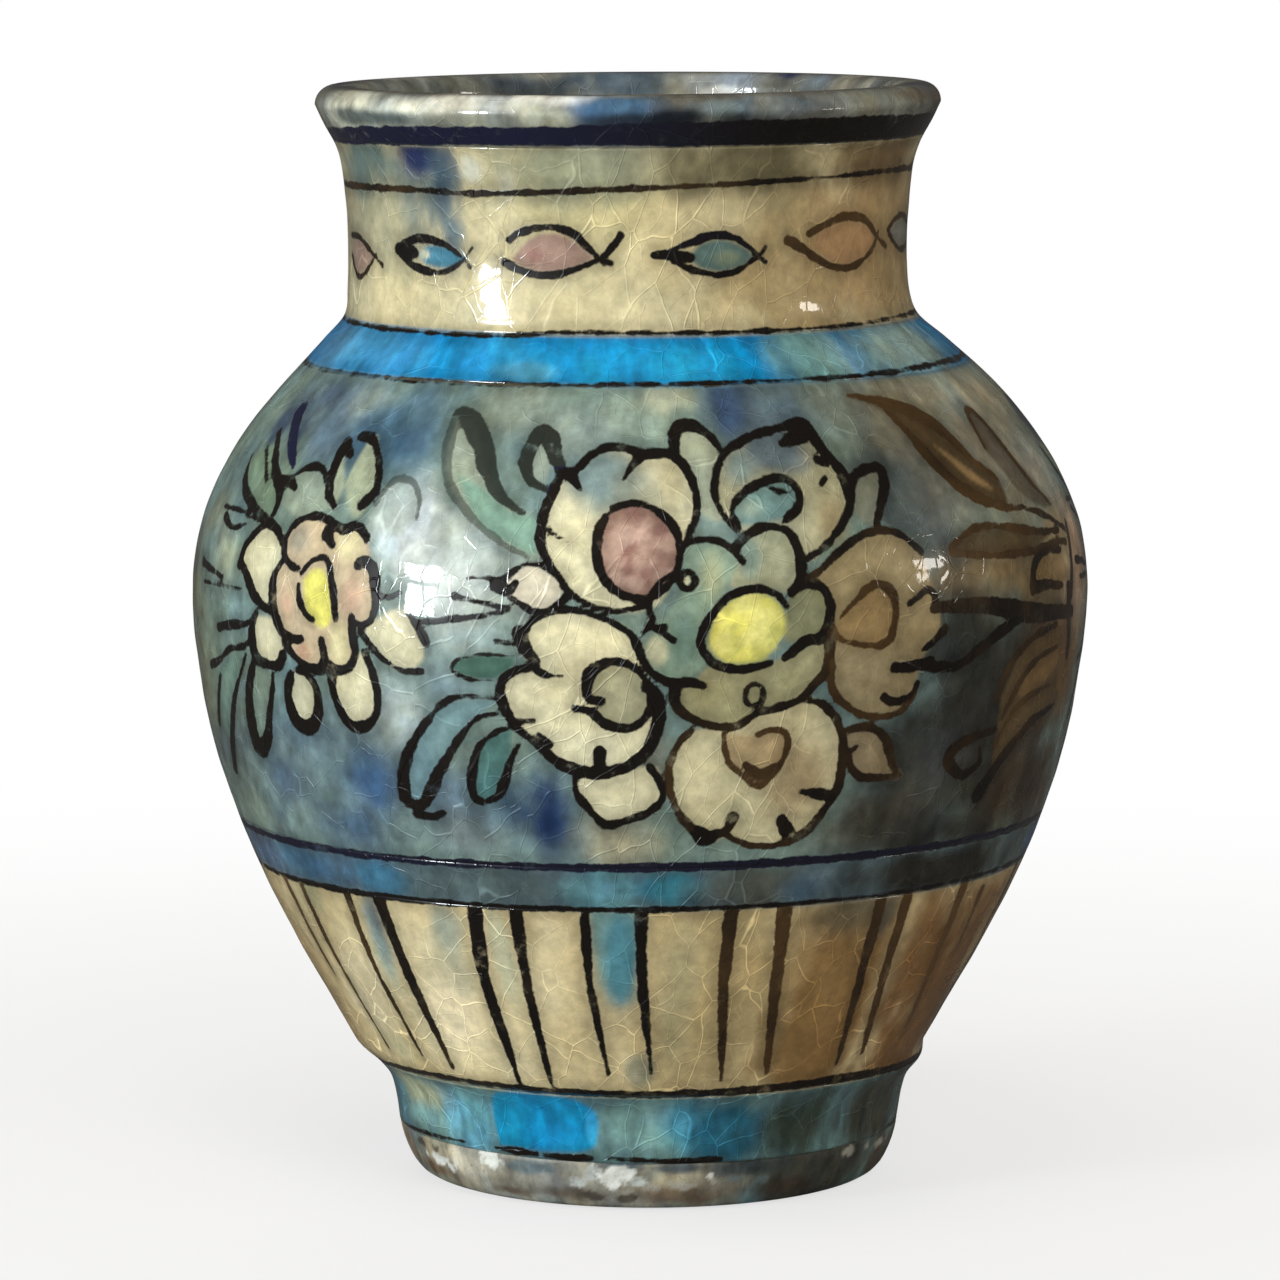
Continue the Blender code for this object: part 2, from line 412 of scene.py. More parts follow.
def turned_marks(marks, degrees, sway):
    """Copy of some marks moved round the pot, with a small sway so that no two are drawn alike."""
    moved = []
    for mark in marks:
        copy = dict(mark)
        if "path" in mark:
            path = mark["path"].copy()
            path[:, 0] += degrees + sway * np.sin(path[:, 1] * 0.11 + degrees)
            path[:, 1] += 0.9 * sway * np.sin(path[:, 0] * 0.17 + 2.0)
            copy["path"] = path
        else:
            copy["centre"] = (mark["centre"][0] + degrees, mark["centre"][1])
        moved.append(copy)
    return moved


def dapple(pale, deep, centre, reach, count, strength=0.75):
    """Small broken dabs, pale and deep, scattered inside an oval."""
    dabs = []
    for step in range(count):
        turn, far = 2.4 * step, math.sqrt((step + 0.5) / count)
        place = (centre[0] + far * reach[0] * math.cos(turn), centre[1] + far * reach[1] * math.sin(turn))
        dabs.append(oval(deep if step % 3 == 1 else pale, strength, place, (1.5, 2.0), 0.7, crumbled=True))
    return dabs


def rose():
    """Upper left flower of the bouquet, with its rose-coloured disc."""
    outline = [(-9.2, 117.4), (-11, 120.5), (-12.5, 124), (-12.6, 128), (-11.8, 132), (-10.4, 135.6),
               (-8.5, 136.6), (-7, 138.6), (-4.5, 140.2), (-2, 140), (0.5, 139), (4, 139), (6.3, 136.5),
               (7.3, 133), (7.2, 129), (6, 125.5), (5.2, 123.4)]
    disc = [(-3.6, 130.2), (-1.2, 131), (1.6, 130.3), (3.8, 128), (4.9, 124.6), (4.8, 121), (3.7, 117.8),
            (1.7, 115.6), (-0.6, 115.2), (-2.8, 116.4), (-4.6, 119), (-5.4, 122.6), (-5.2, 126.4),
            (-4.4, 128.8)]
    return [
        fill(PETAL, 0.9, *outline, (2, 114), (-5, 113.5)),
        oval((118, 140, 138), 0.95, (-5.2, 135), (5.4, 6.2), 0.6),
        oval((150, 154, 134), 0.7, (-1.0, 133), (4.0, 4.4), 0.8),
        oval((176, 166, 126), 0.7, (4.6, 135), (2.4, 5.0), 0.8),
        fill(ROSE, 1.0, *disc),
        *dapple((188, 158, 140), (136, 98, 90), (-0.4, 123), (4.4, 6.2), 22),
        stroke((1.4, 2.2, 2.0, 1.5, 2.0, 1.8, 1.2), *outline),
        stroke((2.4, 2.6, 1.2), (-10.9, 136.4), (-9.3, 135.4), (-7.9, 133.2)),
        stroke((2.2, 1.6, 0.9), (0.2, 139), (-1, 137.2), (-2.2, 134.9)),
        stroke((1.3, 0.7), (-11.6, 126.6), (-10.4, 125.4), (-9.1, 124.7)),
        stroke((1.0, 1.3, 1.2), (-9.6, 117.3), (-8.7, 116.3), (-7, 114.6), (-4, 113.1), (-1.5, 113.3),
               (0.6, 114)),
        stroke((1.4, 1.6, 1.8, 1.5, 1.6, 2.0, 1.8), *disc),
        fill(PETAL, 0.9, (4.9, 118.3), (5.6, 119.3), (6.3, 118.3), (5.6, 117.3)),
        circle(1.5, (5.8, 118.2), (0.95, 1.45)),
        stroke((1.0, 1.4, 1.5), (4.3, 119.5), (2.5, 118), (1.3, 115.5), (1.2, 113), (1.5, 111.3),
               (0.4, 109.4)),
        stroke((1.5, 0.9), (1, 111), (2, 110.3), (3.1, 110.6)),
        stroke((1.6, 1.2), (1.5, 110.5), (3, 109), (4.1, 108)),
    ]


def spiral_flower():
    """Lower left flower, with a spiral at its heart, and the bud under it."""
    outer = [(-13.2, 103.2), (-15.5, 102.2), (-17, 100.5), (-17.3, 98), (-16.5, 95), (-15, 92),
             (-12.5, 89.4), (-10.5, 86.6), (-7.5, 84.9), (-4.5, 84.7), (-1.5, 86), (0.8, 88.5), (2, 92),
             (2.3, 96), (1.8, 99), (0.6, 100)]
    spiral = [(-4.6, 97.4), (-6.2, 98), (-6.5, 100.5), (-5.5, 103), (-3.5, 104.3), (-1, 103.6),
              (0.5, 101.5), (1.3, 98.5), (1, 95.5), (-0.5, 93.1), (-2.5, 92.7), (-4.5, 93.7), (-6, 95.6),
              (-7.9, 96.1)]
    bud = [(-8.2, 84), (-8, 81), (-6.8, 78.5), (-4.5, 75.4), (-2, 76), (1, 77.6), (2.8, 80), (2.5, 83),
           (1.3, 85.8)]
    return [
        fill(PETAL, 0.95, *outer, (0.4, 106), (-1.5, 109.4), (-4, 111.4), (-7.5, 113), (-11, 112.6),
             (-14.6, 108.5)),
        fill((150, 148, 116), 0.85, *spiral[1:-2]),
        fill(PETAL, 0.9, *bud),
        stroke((1.5, 1.4, 1.7), (-15, 107.8), (-12.5, 111.8), (-10, 113), (-7.5, 113.1), (-4, 111.5),
               (-1.4, 109.4), (-0.4, 107.4)),
        stroke((2.6, 3.0, 1.8), (-14.9, 109), (-14.1, 106.6), (-12.7, 104.2)),
        stroke((1.6, 1.1), (-13.4, 103.6), (-11.6, 101.9), (-9.5, 101.6)),
        stroke((1.6, 2.4, 1.9, 2.6, 2.2, 2.6, 2.2), *outer),
        stroke((2.6, 2.2), (-5.0, 88.4), (-5.0, 86)),
        stroke((1.9, 1.4), (-15.5, 93.4), (-13.2, 93.7)),
        stroke((1.6, 1.7), (-12.6, 91), (-11.2, 89.4)),
        stroke((1.8, 2.7, 1.7, 1.9, 1.7, 2.1, 1.5), *spiral),
        stroke((1.4, 1.9, 1.6, 1.8), *bud),
        stroke((1.9, 1.7), (-0.4, 107.6), (0.5, 104.2), (2, 101.7), (4, 100.6), (6, 100.8), (7.5, 100.1)),
    ]


def yellow_flower():
    """Centre flower, with teal petals round a yellow disc."""
    ring = [(18, 113.5), (16.5, 115.8), (14, 116.6), (11, 115.5), (8.8, 112.5), (7.4, 109), (7.5, 106.5),
            (9, 104), (11.5, 102.8), (14, 103), (16, 103.8)]
    lower = [(4.2, 99.6), (4.3, 97), (6, 94.6), (9, 92.9), (12, 92.9), (14.5, 95), (17, 95.7), (20, 97.2),
             (21.6, 99.6), (23, 101.7), (23.5, 105), (23.3, 109.3)]
    return [
        fill(TEAL, 0.9, (5, 122.5), (6, 124.5), (9.5, 124.8), (12.5, 121.5), (10, 116), (7.2, 109),
             (8, 104), (4, 101), (0.6, 104), (2, 110), (5.5, 117)),
        fill((164, 166, 134), 0.95, (12.4, 122), (14, 126), (16.5, 127), (18.8, 126), (20, 121),
             (19, 116), (14, 117), (11, 117)),
        fill((162, 156, 114), 0.9, *lower, (22.6, 107.4), (18.5, 105.4), (14, 103), (9, 104),
             (6.5, 100.8)),
        fill((140, 140, 104), 0.9, (18.5, 115.8), (21.5, 117), (23.4, 114), (23.3, 109.5), (20.5, 107.4),
             (17.5, 108)),
        oval(PETAL, 0.7, (2.0, 106.0), (1.5, 2.8), 0.6),
        oval((116, 146, 138), 0.7, (13.6, 122), (1.8, 4.0), 0.8),
        oval((176, 180, 140), 0.75, (8.8, 119), (2.0, 5.0), 0.8),
        oval((104, 134, 124), 0.8, (5.4, 108), (2.2, 6.0), 0.8),
        fill(YELLOW, 1.0, (9, 112), (11.5, 115), (14.5, 115.9), (17, 114), (17.8, 110.5), (16.2, 106),
             (13.5, 103.8), (10, 104.4), (8.4, 107.5)),
        *dapple((236, 230, 142), (182, 182, 98), (13, 110), (4.2, 5.4), 14, 0.6),
        stroke((1.3, 1.6, 1.4), (5, 122.4), (5.8, 124.3), (7.5, 125), (9.5, 124.8), (11, 123.8),
               (12.2, 122.3), (12.9, 121.2)),
        stroke((2.0, 1.6, 2.3, 2.2), (12.2, 123.8), (14, 126), (16.5, 127), (18.8, 126), (19.9, 123.5),
               (20.2, 120.5), (19.8, 117.5), (18.8, 115.8)),
        stroke((1.5, 2.2, 2.4, 1.8), (19.8, 116.7), (21.5, 117), (23, 116), (23.7, 113), (23.3, 109.5),
               (22.5, 107.7), (20.5, 107.3), (18.7, 105.6), (17.8, 104.6)),
        stroke((2.0, 1.8, 1.9, 1.6, 2.0, 2.6), *lower, tone=0.25),
        circle(1.4, (14.0, 98.2), (1.15, 1.9), tone=0.2),
        stroke((1.6, 1.7, 1.8, 1.5), *ring),
    ]


def upper_flower():
    """Upper right flower and the single petal between it and the rose."""
    outline = [(12.5, 126.4), (11, 128.5), (9.9, 131.5), (10, 134.5), (11.2, 138), (13.5, 140.3),
               (17, 142), (21, 142.9), (25, 143.5), (25.8, 141), (27, 138), (28.5, 135.5), (29, 132.5),
               (28, 129), (26, 126), (23.5, 123), (20.7, 121.2)]
    loop = [(18.8, 128), (21, 130), (21.3, 132.5), (20, 134.5), (18, 134.6), (15, 133.5), (12.8, 131.5),
            (11.9, 129.5), (12.6, 127.3)]
    return [
        fill((170, 176, 150), 0.9, (4.7, 139.5), (5, 142.5), (6.3, 143.8), (8.5, 143.3), (10.5, 141.5),
             (11.2, 138), (9.8, 133), (10.5, 128), (7.3, 130), (7, 135)),
        fill((180, 174, 138), 0.85, *outline),
        oval((92, 108, 116), 0.95, (18.5, 139.4), (6.6, 5.4), 0.6),
        oval((122, 140, 136), 0.9, (13.6, 137), (3.6, 4.0), 0.7),
        # Painted shade: brownish shading along the flower's right edge.
        oval((150, 132, 96), 0.7, (25.5, 127), (3.0, 5.0), 0.8),
        fill((112, 146, 142), 0.95, *loop),
        oval((150, 166, 148), 0.7, (14.6, 130), (2.2, 2.0), 0.7),
        stroke((2.0, 2.6, 1.8, 1.2), (4.8, 139.2), (5, 142.4), (6.3, 143.7), (8.5, 143.2), (10.5, 141.4),
               (11.6, 138.8)),
        stroke((1.4, 1.6, 1.8, 1.6, 2.4, 2.2, 1.7, 1.2), *outline),
        stroke((1.6, 3.2, 3.0), (20.6, 140.4), (23, 141.3), (25.4, 142.4)),
        stroke((2.0, 2.8, 1.8), (27.4, 137.4), (28.6, 134.4), (28.4, 131.0)),
        stroke(1.8, (25.2, 137.6), (26.6, 136.9)),
        stroke(1.2, (24.8, 133.4), (25.7, 134.6)),
        stroke((1.6, 1.8, 2.0, 1.5, 1.3), *loop),
        stroke((1.0, 1.8, 0.8), (17.2, 133.4), (18.4, 132.7), (20.2, 132.6)),
        fill((140, 140, 118), 0.7, (29.3, 133.5), (33.5, 135.8), (34.6, 134), (33, 129.5), (31.2, 126),
             (28.5, 129)),
        stroke((2.0, 2.0, 2.6, 2.0, 1.4), (29.3, 133.4), (30.5, 134.8), (33.5, 135.8), (34.8, 135.4),
               (34.3, 132.5), (33, 129.5), (31.5, 126.4), tone=0.1),
    ]


def teardrop_flower():
    """Right flower, with a teardrop loop and scalloped edge."""
    drop = [(25, 111), (26.5, 113), (29, 115.8), (31, 116.3), (32.5, 114.5), (32.7, 110.5), (32, 107),
            (30.5, 105.8), (28.5, 106), (26.5, 106.5), (24.8, 107.5), (24, 109.5)]
    top = [(20.5, 117.6), (22.5, 119.2), (25, 121.8), (28, 124.2), (31, 125.3), (34, 125), (36, 123.3),
           (37.6, 121.2)]
    base = [(23.8, 104), (24, 99.5), (25.3, 96.5), (28, 94), (31, 93.1), (34, 93.6), (36, 96.5)]
    return [
        # Partly painted shade: the tan fills and the brown tones of the outlines carry the right side's
        # warm shadow.
        fill((158, 140, 100), 0.9, *top, (38.3, 117), (39.3, 112), (39.5, 107), (37, 103), (36, 97),
             *base[::-1], (23.6, 110)),
        fill((158, 132, 88), 0.9, *drop),
        stroke((1.4, 1.7, 1.6, 1.4), *top, tone=0.2),
        stroke((1.2, 1.7, 1.5), (34.8, 112.5), (36.5, 113.8), (38, 114.8), (38.9, 113.4), (38.7, 111.4),
               tone=0.2),
        stroke((1.2, 1.8, 2.0), (36.8, 104.2), (38.5, 105.5), (40.5, 107.6), tone=0.2),
        stroke((2.2, 2.6, 2.4), (32.8, 101.6), (35, 101.6), (38.2, 102.2), tone=0.15),
        stroke((2.0, 2.2, 1.4), (31.5, 96.6), (33, 95.6), (35.5, 96.2), (36.4, 98.4), tone=0.2),
        stroke((1.3, 1.7, 1.5, 1.6), *base, tone=0.45),
        stroke((1.0, 1.6, 2.2, 1.8, 1.3, 1.2), *drop, tone=0.55),
    ]


def heart_flower():
    """Bottom flower, with a heart-shaped loop, and the bud to its right."""
    left = [(6.3, 92.2), (4.8, 90), (3.7, 86.5), (3.6, 82.5), (4.5, 78.5), (6, 75.6), (8, 73.2)]
    right = [(11.5, 73), (14, 71.4), (17, 70.9), (20, 71.6), (22.5, 73.6), (24.5, 77), (26, 81),
             (26.3, 86), (25.8, 90.5), (24.5, 94), (22.5, 96.3), (20.5, 97)]
    heart = [(10.3, 91.6), (10.6, 88.5), (11.5, 85.8), (13.5, 83.3), (15.2, 81.8), (16.8, 84), (18.2, 87),
             (18.6, 90), (17.8, 91.7), (16, 91.9), (14.6, 91.1)]
    bud = [(25.8, 91), (28, 91.5), (30.5, 91), (32.5, 88.5), (33.5, 85), (35.3, 81.9)]
    return [
        fill((204, 194, 152), 0.95, *left, (9.5, 72), *right, (14.5, 95), (9, 93)),
        # Partly painted shade: the tan heart, the brown wash, the tan bud and the outlines' brown tones
        # carry the right side's warm shadow.
        fill((168, 144, 104), 0.8, *heart),
        oval((150, 122, 84), 0.6, (20, 82), (5.5, 9.0), 0.8),
        stroke((1.2, 1.6, 1.7, 2.0), *left, tone=0.35),
        stroke((2.2, 3.6, 2.2), (7.2, 74.2), (8.5, 72.7), (9.7, 73.2), tone=0.05),
        stroke((1.8, 1.6, 2.4), (9.6, 73.4), (11.2, 73.9), (12.0, 76.4), tone=0.25),
        stroke((1.3, 1.5, 2.2, 1.9, 2.2, 1.9, 1.5), *right, tone=0.3),
        stroke((2.2, 3.2, 2.4), (18.6, 75.6), (19.3, 74), (20.4, 72.3), tone=0.1),
        stroke((1.2, 2.2, 2.6), (20.8, 80.6), (23, 80.1), (25.2, 79.2), tone=0.2),
        stroke((1.0, 1.4, 1.6, 1.5, 1.6, 1.2), *heart, tone=0.5),
        fill((74, 48, 34), 0.9, (13, 84.6), (15.2, 83.4), (17.4, 85), (15.4, 81.8)),
        stroke((1.4, 2.9, 1.6), (13.2, 85.9), (15.2, 84.0), (17.6, 85.4), tone=0.4),
        fill((156, 136, 100), 0.8, *bud, (31.5, 82.2), (28.6, 83), (27, 87)),
        stroke((1.3, 1.9, 2.2, 1.2), *bud, tone=0.3),
        stroke((1.2, 1.8, 1.8, 1.3), (27, 87.6), (27.5, 84.6), (29, 82.6), (31.5, 82.1), (34.6, 81.9),
               tone=0.25),
        stroke((1.6, 1.2), (26.9, 86.8), (28.1, 88.1), tone=0.3),
    ]


def bouquet_leaves():
    """Leaves, buds and stems on the left of the bouquet."""
    return [
        fill((172, 182, 160), 0.8, (-28.5, 144), (-25, 143), (-21.5, 136.5), (-18, 131), (-14, 128.6),
             (-13, 122), (-18, 124), (-23, 129), (-27.5, 136)),
        fill((130, 168, 148), 0.9, (-25.5, 135), (-21, 133), (-17, 129.6), (-13, 128), (-13, 122.4),
             (-17, 124.4), (-21, 127.4)),
        stroke((3.0, 4.0, 3.6, 2.4, 1.1), (-28.3, 144.6), (-26, 143.6), (-23, 140.2), (-20.5, 134.8),
               (-18, 131.2), (-15.2, 129.2), tone=-1.25),
        stroke((2.6, 2.2, 1.9, 1.4, 0.9), (-28.7, 143.8), (-28, 138), (-26, 133), (-23, 129.2),
               (-20, 126.2), (-16.5, 123.4), (-14, 122.1), tone=-1.8),
        fill((166, 178, 160), 0.8, (-12.6, 134), (-14.8, 135), (-15.6, 138), (-14.4, 141),
             (-12.4, 138.4)),
        stroke((1.5, 2.2, 3.3, 3.5, 2.0), (-12.2, 133), (-14.8, 134.6), (-15.9, 138), (-14.8, 141.8),
               (-13.2, 141.4), (-11.8, 138.5), (-10.7, 136.8), tone=-1.1),
        fill((234, 226, 202), 0.95, (-17.2, 117), (-14, 120.6), (-12, 120.2), (-9.6, 117.6), (-10, 114.2),
             (-12, 112.8), (-15, 114.2)),
        stroke((2.4, 2.6, 1.2), (-17.9, 117), (-16.2, 116.3), (-15.3, 117.6)),
        stroke((1.6, 1.0, 0.9), (-17.4, 117.4), (-16, 119.2), (-14, 120.8), (-12, 120.4), (-10, 118.2)),
        stroke((1.3, 1.4, 1.2), (-16, 115.2), (-14, 113.4), (-12, 112.7), (-10, 114), (-8.8, 115.5)),
        stroke((1.0, 1.2), (-21.6, 118), (-19, 118.2), (-17, 117.4), tone=0.1),
        stroke((1.4, 0.9), (-23.2, 114.9), (-20, 114.1), (-16, 113.2)),
        stroke((1.5, 1.3, 0.8), (-27.6, 110.1), (-24, 110.7), (-20, 111.6), (-16, 112.8)),
        fill((64, 104, 88), 0.9, (-15.4, 104.6), (-19, 105.2), (-22.6, 104), (-23.4, 102.2),
             (-21.5, 100.8), (-18, 100.9), (-16, 102)),
        stroke((0.7, 0.9, 0.8), (-15.3, 104.9), (-19, 105.1), (-22.6, 103.9), (-23.5, 102.1),
               (-21.5, 100.7), (-18.5, 100.6), tone=0.0),
        stroke(1.3, (-17.6, 107.4), (-15, 107)),
        fill(SKY, 0.75, (-18, 97), (-25, 95.8), (-29, 90), (-31.5, 80), (-28.5, 78.5), (-25, 86),
             (-21, 93)),
        stroke((1.0, 1.3, 1.8, 2.6, 3.2), (-18.2, 97.4), (-22, 97.5), (-25, 96), (-28, 91.5), (-30.3, 87),
               (-31.4, 83), (-31.8, 78.6)),
        stroke((1.0, 1.4, 2.0, 2.8, 2.4), (-17.4, 95), (-20.5, 93.6), (-23, 90), (-25.5, 85),
               (-27.5, 80.6), (-29.4, 77.4), (-31.4, 77.6), tone=0.1),
        stroke((2.2, 2.0, 1.2), (-30.5, 75.8), (-28, 75.5), (-26, 76.4)),
        fill((70, 116, 112), 0.85, (-16, 92.3), (-19.5, 89.8), (-21.4, 84), (-21, 79.4), (-18.4, 80.2),
             (-16.6, 86)),
        stroke((0.9, 1.5, 2.2, 1.8), (-16, 92.6), (-18.5, 91), (-20.5, 88.5), (-21.6, 84), (-21.7, 79.8),
               (-20.7, 78.8)),
        stroke((1.0, 1.8, 2.4, 1.4), (-15, 89.6), (-16.3, 86.6), (-17.2, 83), (-18.2, 80.2),
               (-19.6, 79.1)),
    ]


def bouquet():
    back = bouquet_leaves() + upper_flower() + teardrop_flower() + heart_flower()
    return back + yellow_flower() + rose() + spiral_flower()


def single_flower():
    """Flower on the left, with a yellow heart, five inner petals and loose outer ones."""
    inner = [(-51.5, 121.8), (-50.5, 124.4), (-48.5, 126), (-45.5, 126.5), (-43, 125.4), (-41, 124.8),
             (-38.8, 125.5), (-36.8, 123.6), (-35.4, 119.6), (-34.4, 115), (-34.6, 110.6), (-36, 108.8),
             (-37.6, 107), (-37.5, 103.6), (-38.5, 101.1), (-40.5, 100.3), (-43.5, 100.1), (-46, 100.4),
             (-48, 101.9), (-50.4, 105), (-51.9, 109), (-52.5, 112.5), (-52.2, 115.6), (-51, 118.2)]
    blush = (204, 184, 150)
    top = [(-43.8, 128.4), (-45.5, 130), (-46.5, 132.6), (-46.9, 136), (-46.8, 138.4)]
    oval_petal = [(-49, 98.4), (-50.2, 95), (-49.4, 91), (-47.5, 89.2), (-45.5, 90.2), (-44.4, 93),
                  (-44.5, 96.5), (-46, 98.9), (-47.8, 99.4)]
    low_petal = [(-41.5, 99.5), (-41.5, 96), (-40.3, 92.6), (-38.8, 90.6), (-36.5, 90.8), (-34.8, 93.2),
                 (-34.4, 97), (-35, 101), (-36, 104)]
    long_petal = [(-57.4, 99), (-59, 95), (-59.9, 90), (-59.8, 85), (-58.4, 83.6), (-56.3, 86),
                  (-54.8, 90.4), (-53.5, 95), (-53, 98)]
    left_petal = [(-60.9, 116.4), (-60.5, 119.5), (-58.5, 122.4), (-56, 124.2), (-53.5, 123),
                  (-51.5, 121.5)]
    return [
        fill(PETAL, 0.85, *left_petal, (-52, 115), (-53.5, 109.4), (-57, 112)),
        fill((176, 184, 152), 0.85, *top[::-1], (-42.5, 140), (-40, 138), (-38.2, 135), (-37.6, 131.5),
             (-40, 127)),
        fill((160, 172, 150), 0.7, (-55, 128), (-54.6, 132.4), (-50.5, 134.4), (-47, 131.8), (-45, 128),
             (-50, 126)),
        fill((178, 190, 180), 0.75, (-37, 126), (-36.5, 131.5), (-34, 133.6), (-31, 132.6), (-29.8, 129),
             (-32, 124.5)),
        fill(PETAL, 0.85, (-36.5, 108.2), (-33, 103), (-29.5, 101.4), (-27.2, 104.5), (-28.6, 110),
             (-31, 112)),
        fill(PETAL, 0.85, *oval_petal),
        fill(PETAL, 0.9, *low_petal),
        fill(PETAL, 0.9, (-55.9, 108), (-56.6, 103), (-54, 100), (-50.6, 100.6), (-50.2, 105),
             (-52, 108)),
        fill((126, 142, 124), 0.8, *long_petal),
        fill(blush, 0.95, *inner),
        oval((214, 204, 160), 0.9, (-39.5, 122), (3.0, 4.2), 0.6),
        oval((134, 132, 118), 0.75, (-48.6, 122), (2.8, 3.2), 0.8),
        oval((196, 154, 126), 0.8, (-49.4, 111), (2.4, 5.0), 0.8),
        oval((202, 168, 142), 0.8, (-38, 114), (2.6, 5.0), 0.8),
        oval((190, 146, 118), 0.7, (-46.4, 103), (2.0, 2.6), 0.8),
        oval((212, 206, 158), 0.8, (-40, 105), (2.6, 5.0), 0.7),
        fill(YELLOW, 1.0, (-46.5, 115.5), (-44.8, 117.6), (-42.6, 117), (-41.4, 113), (-41.2, 109),
             (-43, 107.6), (-45.4, 110)),
        stroke((1.8, 1.8, 2.2), *inner[:8]),
        stroke((1.9, 1.6), (-51.3, 121.4), (-50.8, 119), (-49, 117.6), (-47.6, 117.3)),
        stroke((1.5, 2.4, 2.8, 2.2, 1.8), (-51, 118.2), (-52.3, 115.6), (-52.4, 112.5), (-51.8, 109),
               (-50.4, 106), (-48, 104.9), (-46.5, 105.1)),
        stroke((2.2, 1.8, 2.6, 2.2), (-49.8, 104.2), (-48, 101.9), (-46, 100.4), (-43.5, 100.1),
               (-42.6, 102.2), (-43, 105)),
        stroke((2.4, 2.0, 2.4, 2.0), (-42.6, 101), (-40.5, 100.3), (-38.5, 101.1), (-37.5, 103.6),
               (-37.8, 107), (-37.9, 110)),
        stroke((1.6, 1.8, 2.4, 2.6), (-37.5, 109), (-36, 108.8), (-34.5, 110.6), (-34.3, 114.4),
               (-35, 118.4), (-36.4, 119.6), (-37.4, 119.1)),
        stroke((3.0, 1.8), (-43.6, 123.8), (-42.2, 122)),
        stroke((1.3, 1.8, 2.2, 1.6), (-47, 116.6), (-45.5, 118.8), (-43.2, 119.7), (-42, 118),
               (-41.3, 115), (-40.7, 111.6), (-40.4, 109.4)),
        stroke((1.4, 1.9, 1.3), (-47.3, 114.5), (-46.8, 111.6), (-45.5, 109.4), (-44.4, 108.8)),
        stroke((1.4, 2.6, 2.4, 3.0), *top),
        stroke((2.6, 1.4), (-47.0, 138.6), (-44.6, 136.9)),
        stroke((1.9, 1.7, 2.4), (-44.8, 140.3), (-42.5, 140), (-40, 138), (-38.3, 135), (-37.5, 131.6),
               (-39.1, 129)),
        stroke((1.2, 1.7, 1.4), (-54.8, 132.5), (-53, 134), (-50.5, 134.5), (-48.5, 133.8), (-46.9, 132)),
        stroke((2.4, 1.8, 1.6), *left_petal),
        stroke((2.2, 2.8, 1.8), (-60.8, 116.8), (-59, 115), (-57, 112.2), (-55, 110.2), (-52.8, 109.2)),
        stroke((1.8, 3.2, 2.0, 2.6), (-55.8, 108.5), (-56.9, 106), (-57, 102.6), (-56.2, 100.2),
               (-54, 99.6), (-51.5, 99.7), (-50.3, 101.6)),
        stroke((2.0, 3.6, 4.2, 2.0, 1.4), *long_petal),
        stroke((2.0, 3.4, 3.2, 2.2, 1.6), *oval_petal),
        stroke((2.0, 2.4, 2.0, 1.8), *low_petal),
        stroke((1.6, 1.3, 1.6), (-36.6, 108), (-35, 105.4), (-33, 103), (-30.5, 101.4), (-27.6, 101.4)),
        stroke((1.2, 1.9, 2.0), (-29.4, 111.6), (-28, 109.2), (-26.9, 106.4)),
        # Painted highlight: this line is thinned to grey where the window's glare falls on it.
        stroke((1.2, 1.5, 1.4, 1.0), (-36.8, 129.5), (-36, 132), (-34.5, 133.7), (-32, 133.5),
               (-30.2, 131), (-29.8, 127.6), tone=-1.7),
        stroke((1.6, 1.2), (-34.5, 114.4), (-32.5, 114), (-30.8, 114.9)),
    ]


def flower_leaves():
    """Leaves and stems on the left of the single flower."""
    return [
        fill((128, 150, 120), 0.75, (-66, 138), (-60, 132.4), (-56, 128), (-58, 125), (-66, 128.6),
             (-70.5, 133)),
        fill((104, 132, 120), 0.7, (-69.5, 96), (-60, 101), (-64, 92), (-68, 84), (-71, 88)),
        stroke((1.2, 2.0, 2.4, 1.8), (-66.5, 139), (-63, 135.6), (-60, 132.6), (-57, 130.6),
               (-55.8, 128.5), (-55.7, 126)),
        stroke((1.2, 2.4, 2.2, 1.8), (-71, 134.5), (-69, 131), (-66, 128.5), (-62, 126.6), (-58, 124.8),
               (-54, 123.5), (-52, 121.6)),
        stroke((1.0, 1.2), (-67, 136), (-64, 133.6), (-61, 130.8)),
        stroke((2.2, 2.6, 1.4), (-57.5, 131.5), (-55, 131.6), (-53, 130.5)),
        stroke((1.0, 1.0), (-72, 125.3), (-65, 125.3), (-59, 124.4)),
        stroke((1.6, 1.5, 0.9), (-70, 123.8), (-66, 122.2), (-62, 123.3)),
        stroke((1.8, 1.3), (-75.5, 114.7), (-70, 114), (-66, 113.3)),
        stroke((1.1, 1.0, 0.7), (-73.5, 111.4), (-68, 111.8), (-60, 112)),
        stroke((2.0, 1.8, 1.4), (-67, 104.2), (-63, 105.3), (-58, 106.3), (-56, 108)),
        stroke((1.8, 1.5, 1.3), (-72, 96.4), (-68, 98), (-64, 100.6), (-60, 101.7), (-58, 103)),
        stroke((2.8, 2.4, 1.6, 1.0), (-70, 78), (-68, 83), (-66, 88), (-64, 92), (-61, 97), (-59, 100.5)),
        stroke((2.0, 2.2, 1.2), (-72.5, 86), (-70.5, 91), (-68, 95.4)),
        oval((52, 68, 92), 0.9, (-60, 139), (3.2, 6.0), 0.7),
        oval((60, 76, 94), 0.9, (-67, 139.6), (3.4, 4.4), 0.7),
        stroke((3.0, 2.6, 1.4), (-64.5, 143), (-60.5, 138.4), (-56, 134), tone=-0.6),
    ]


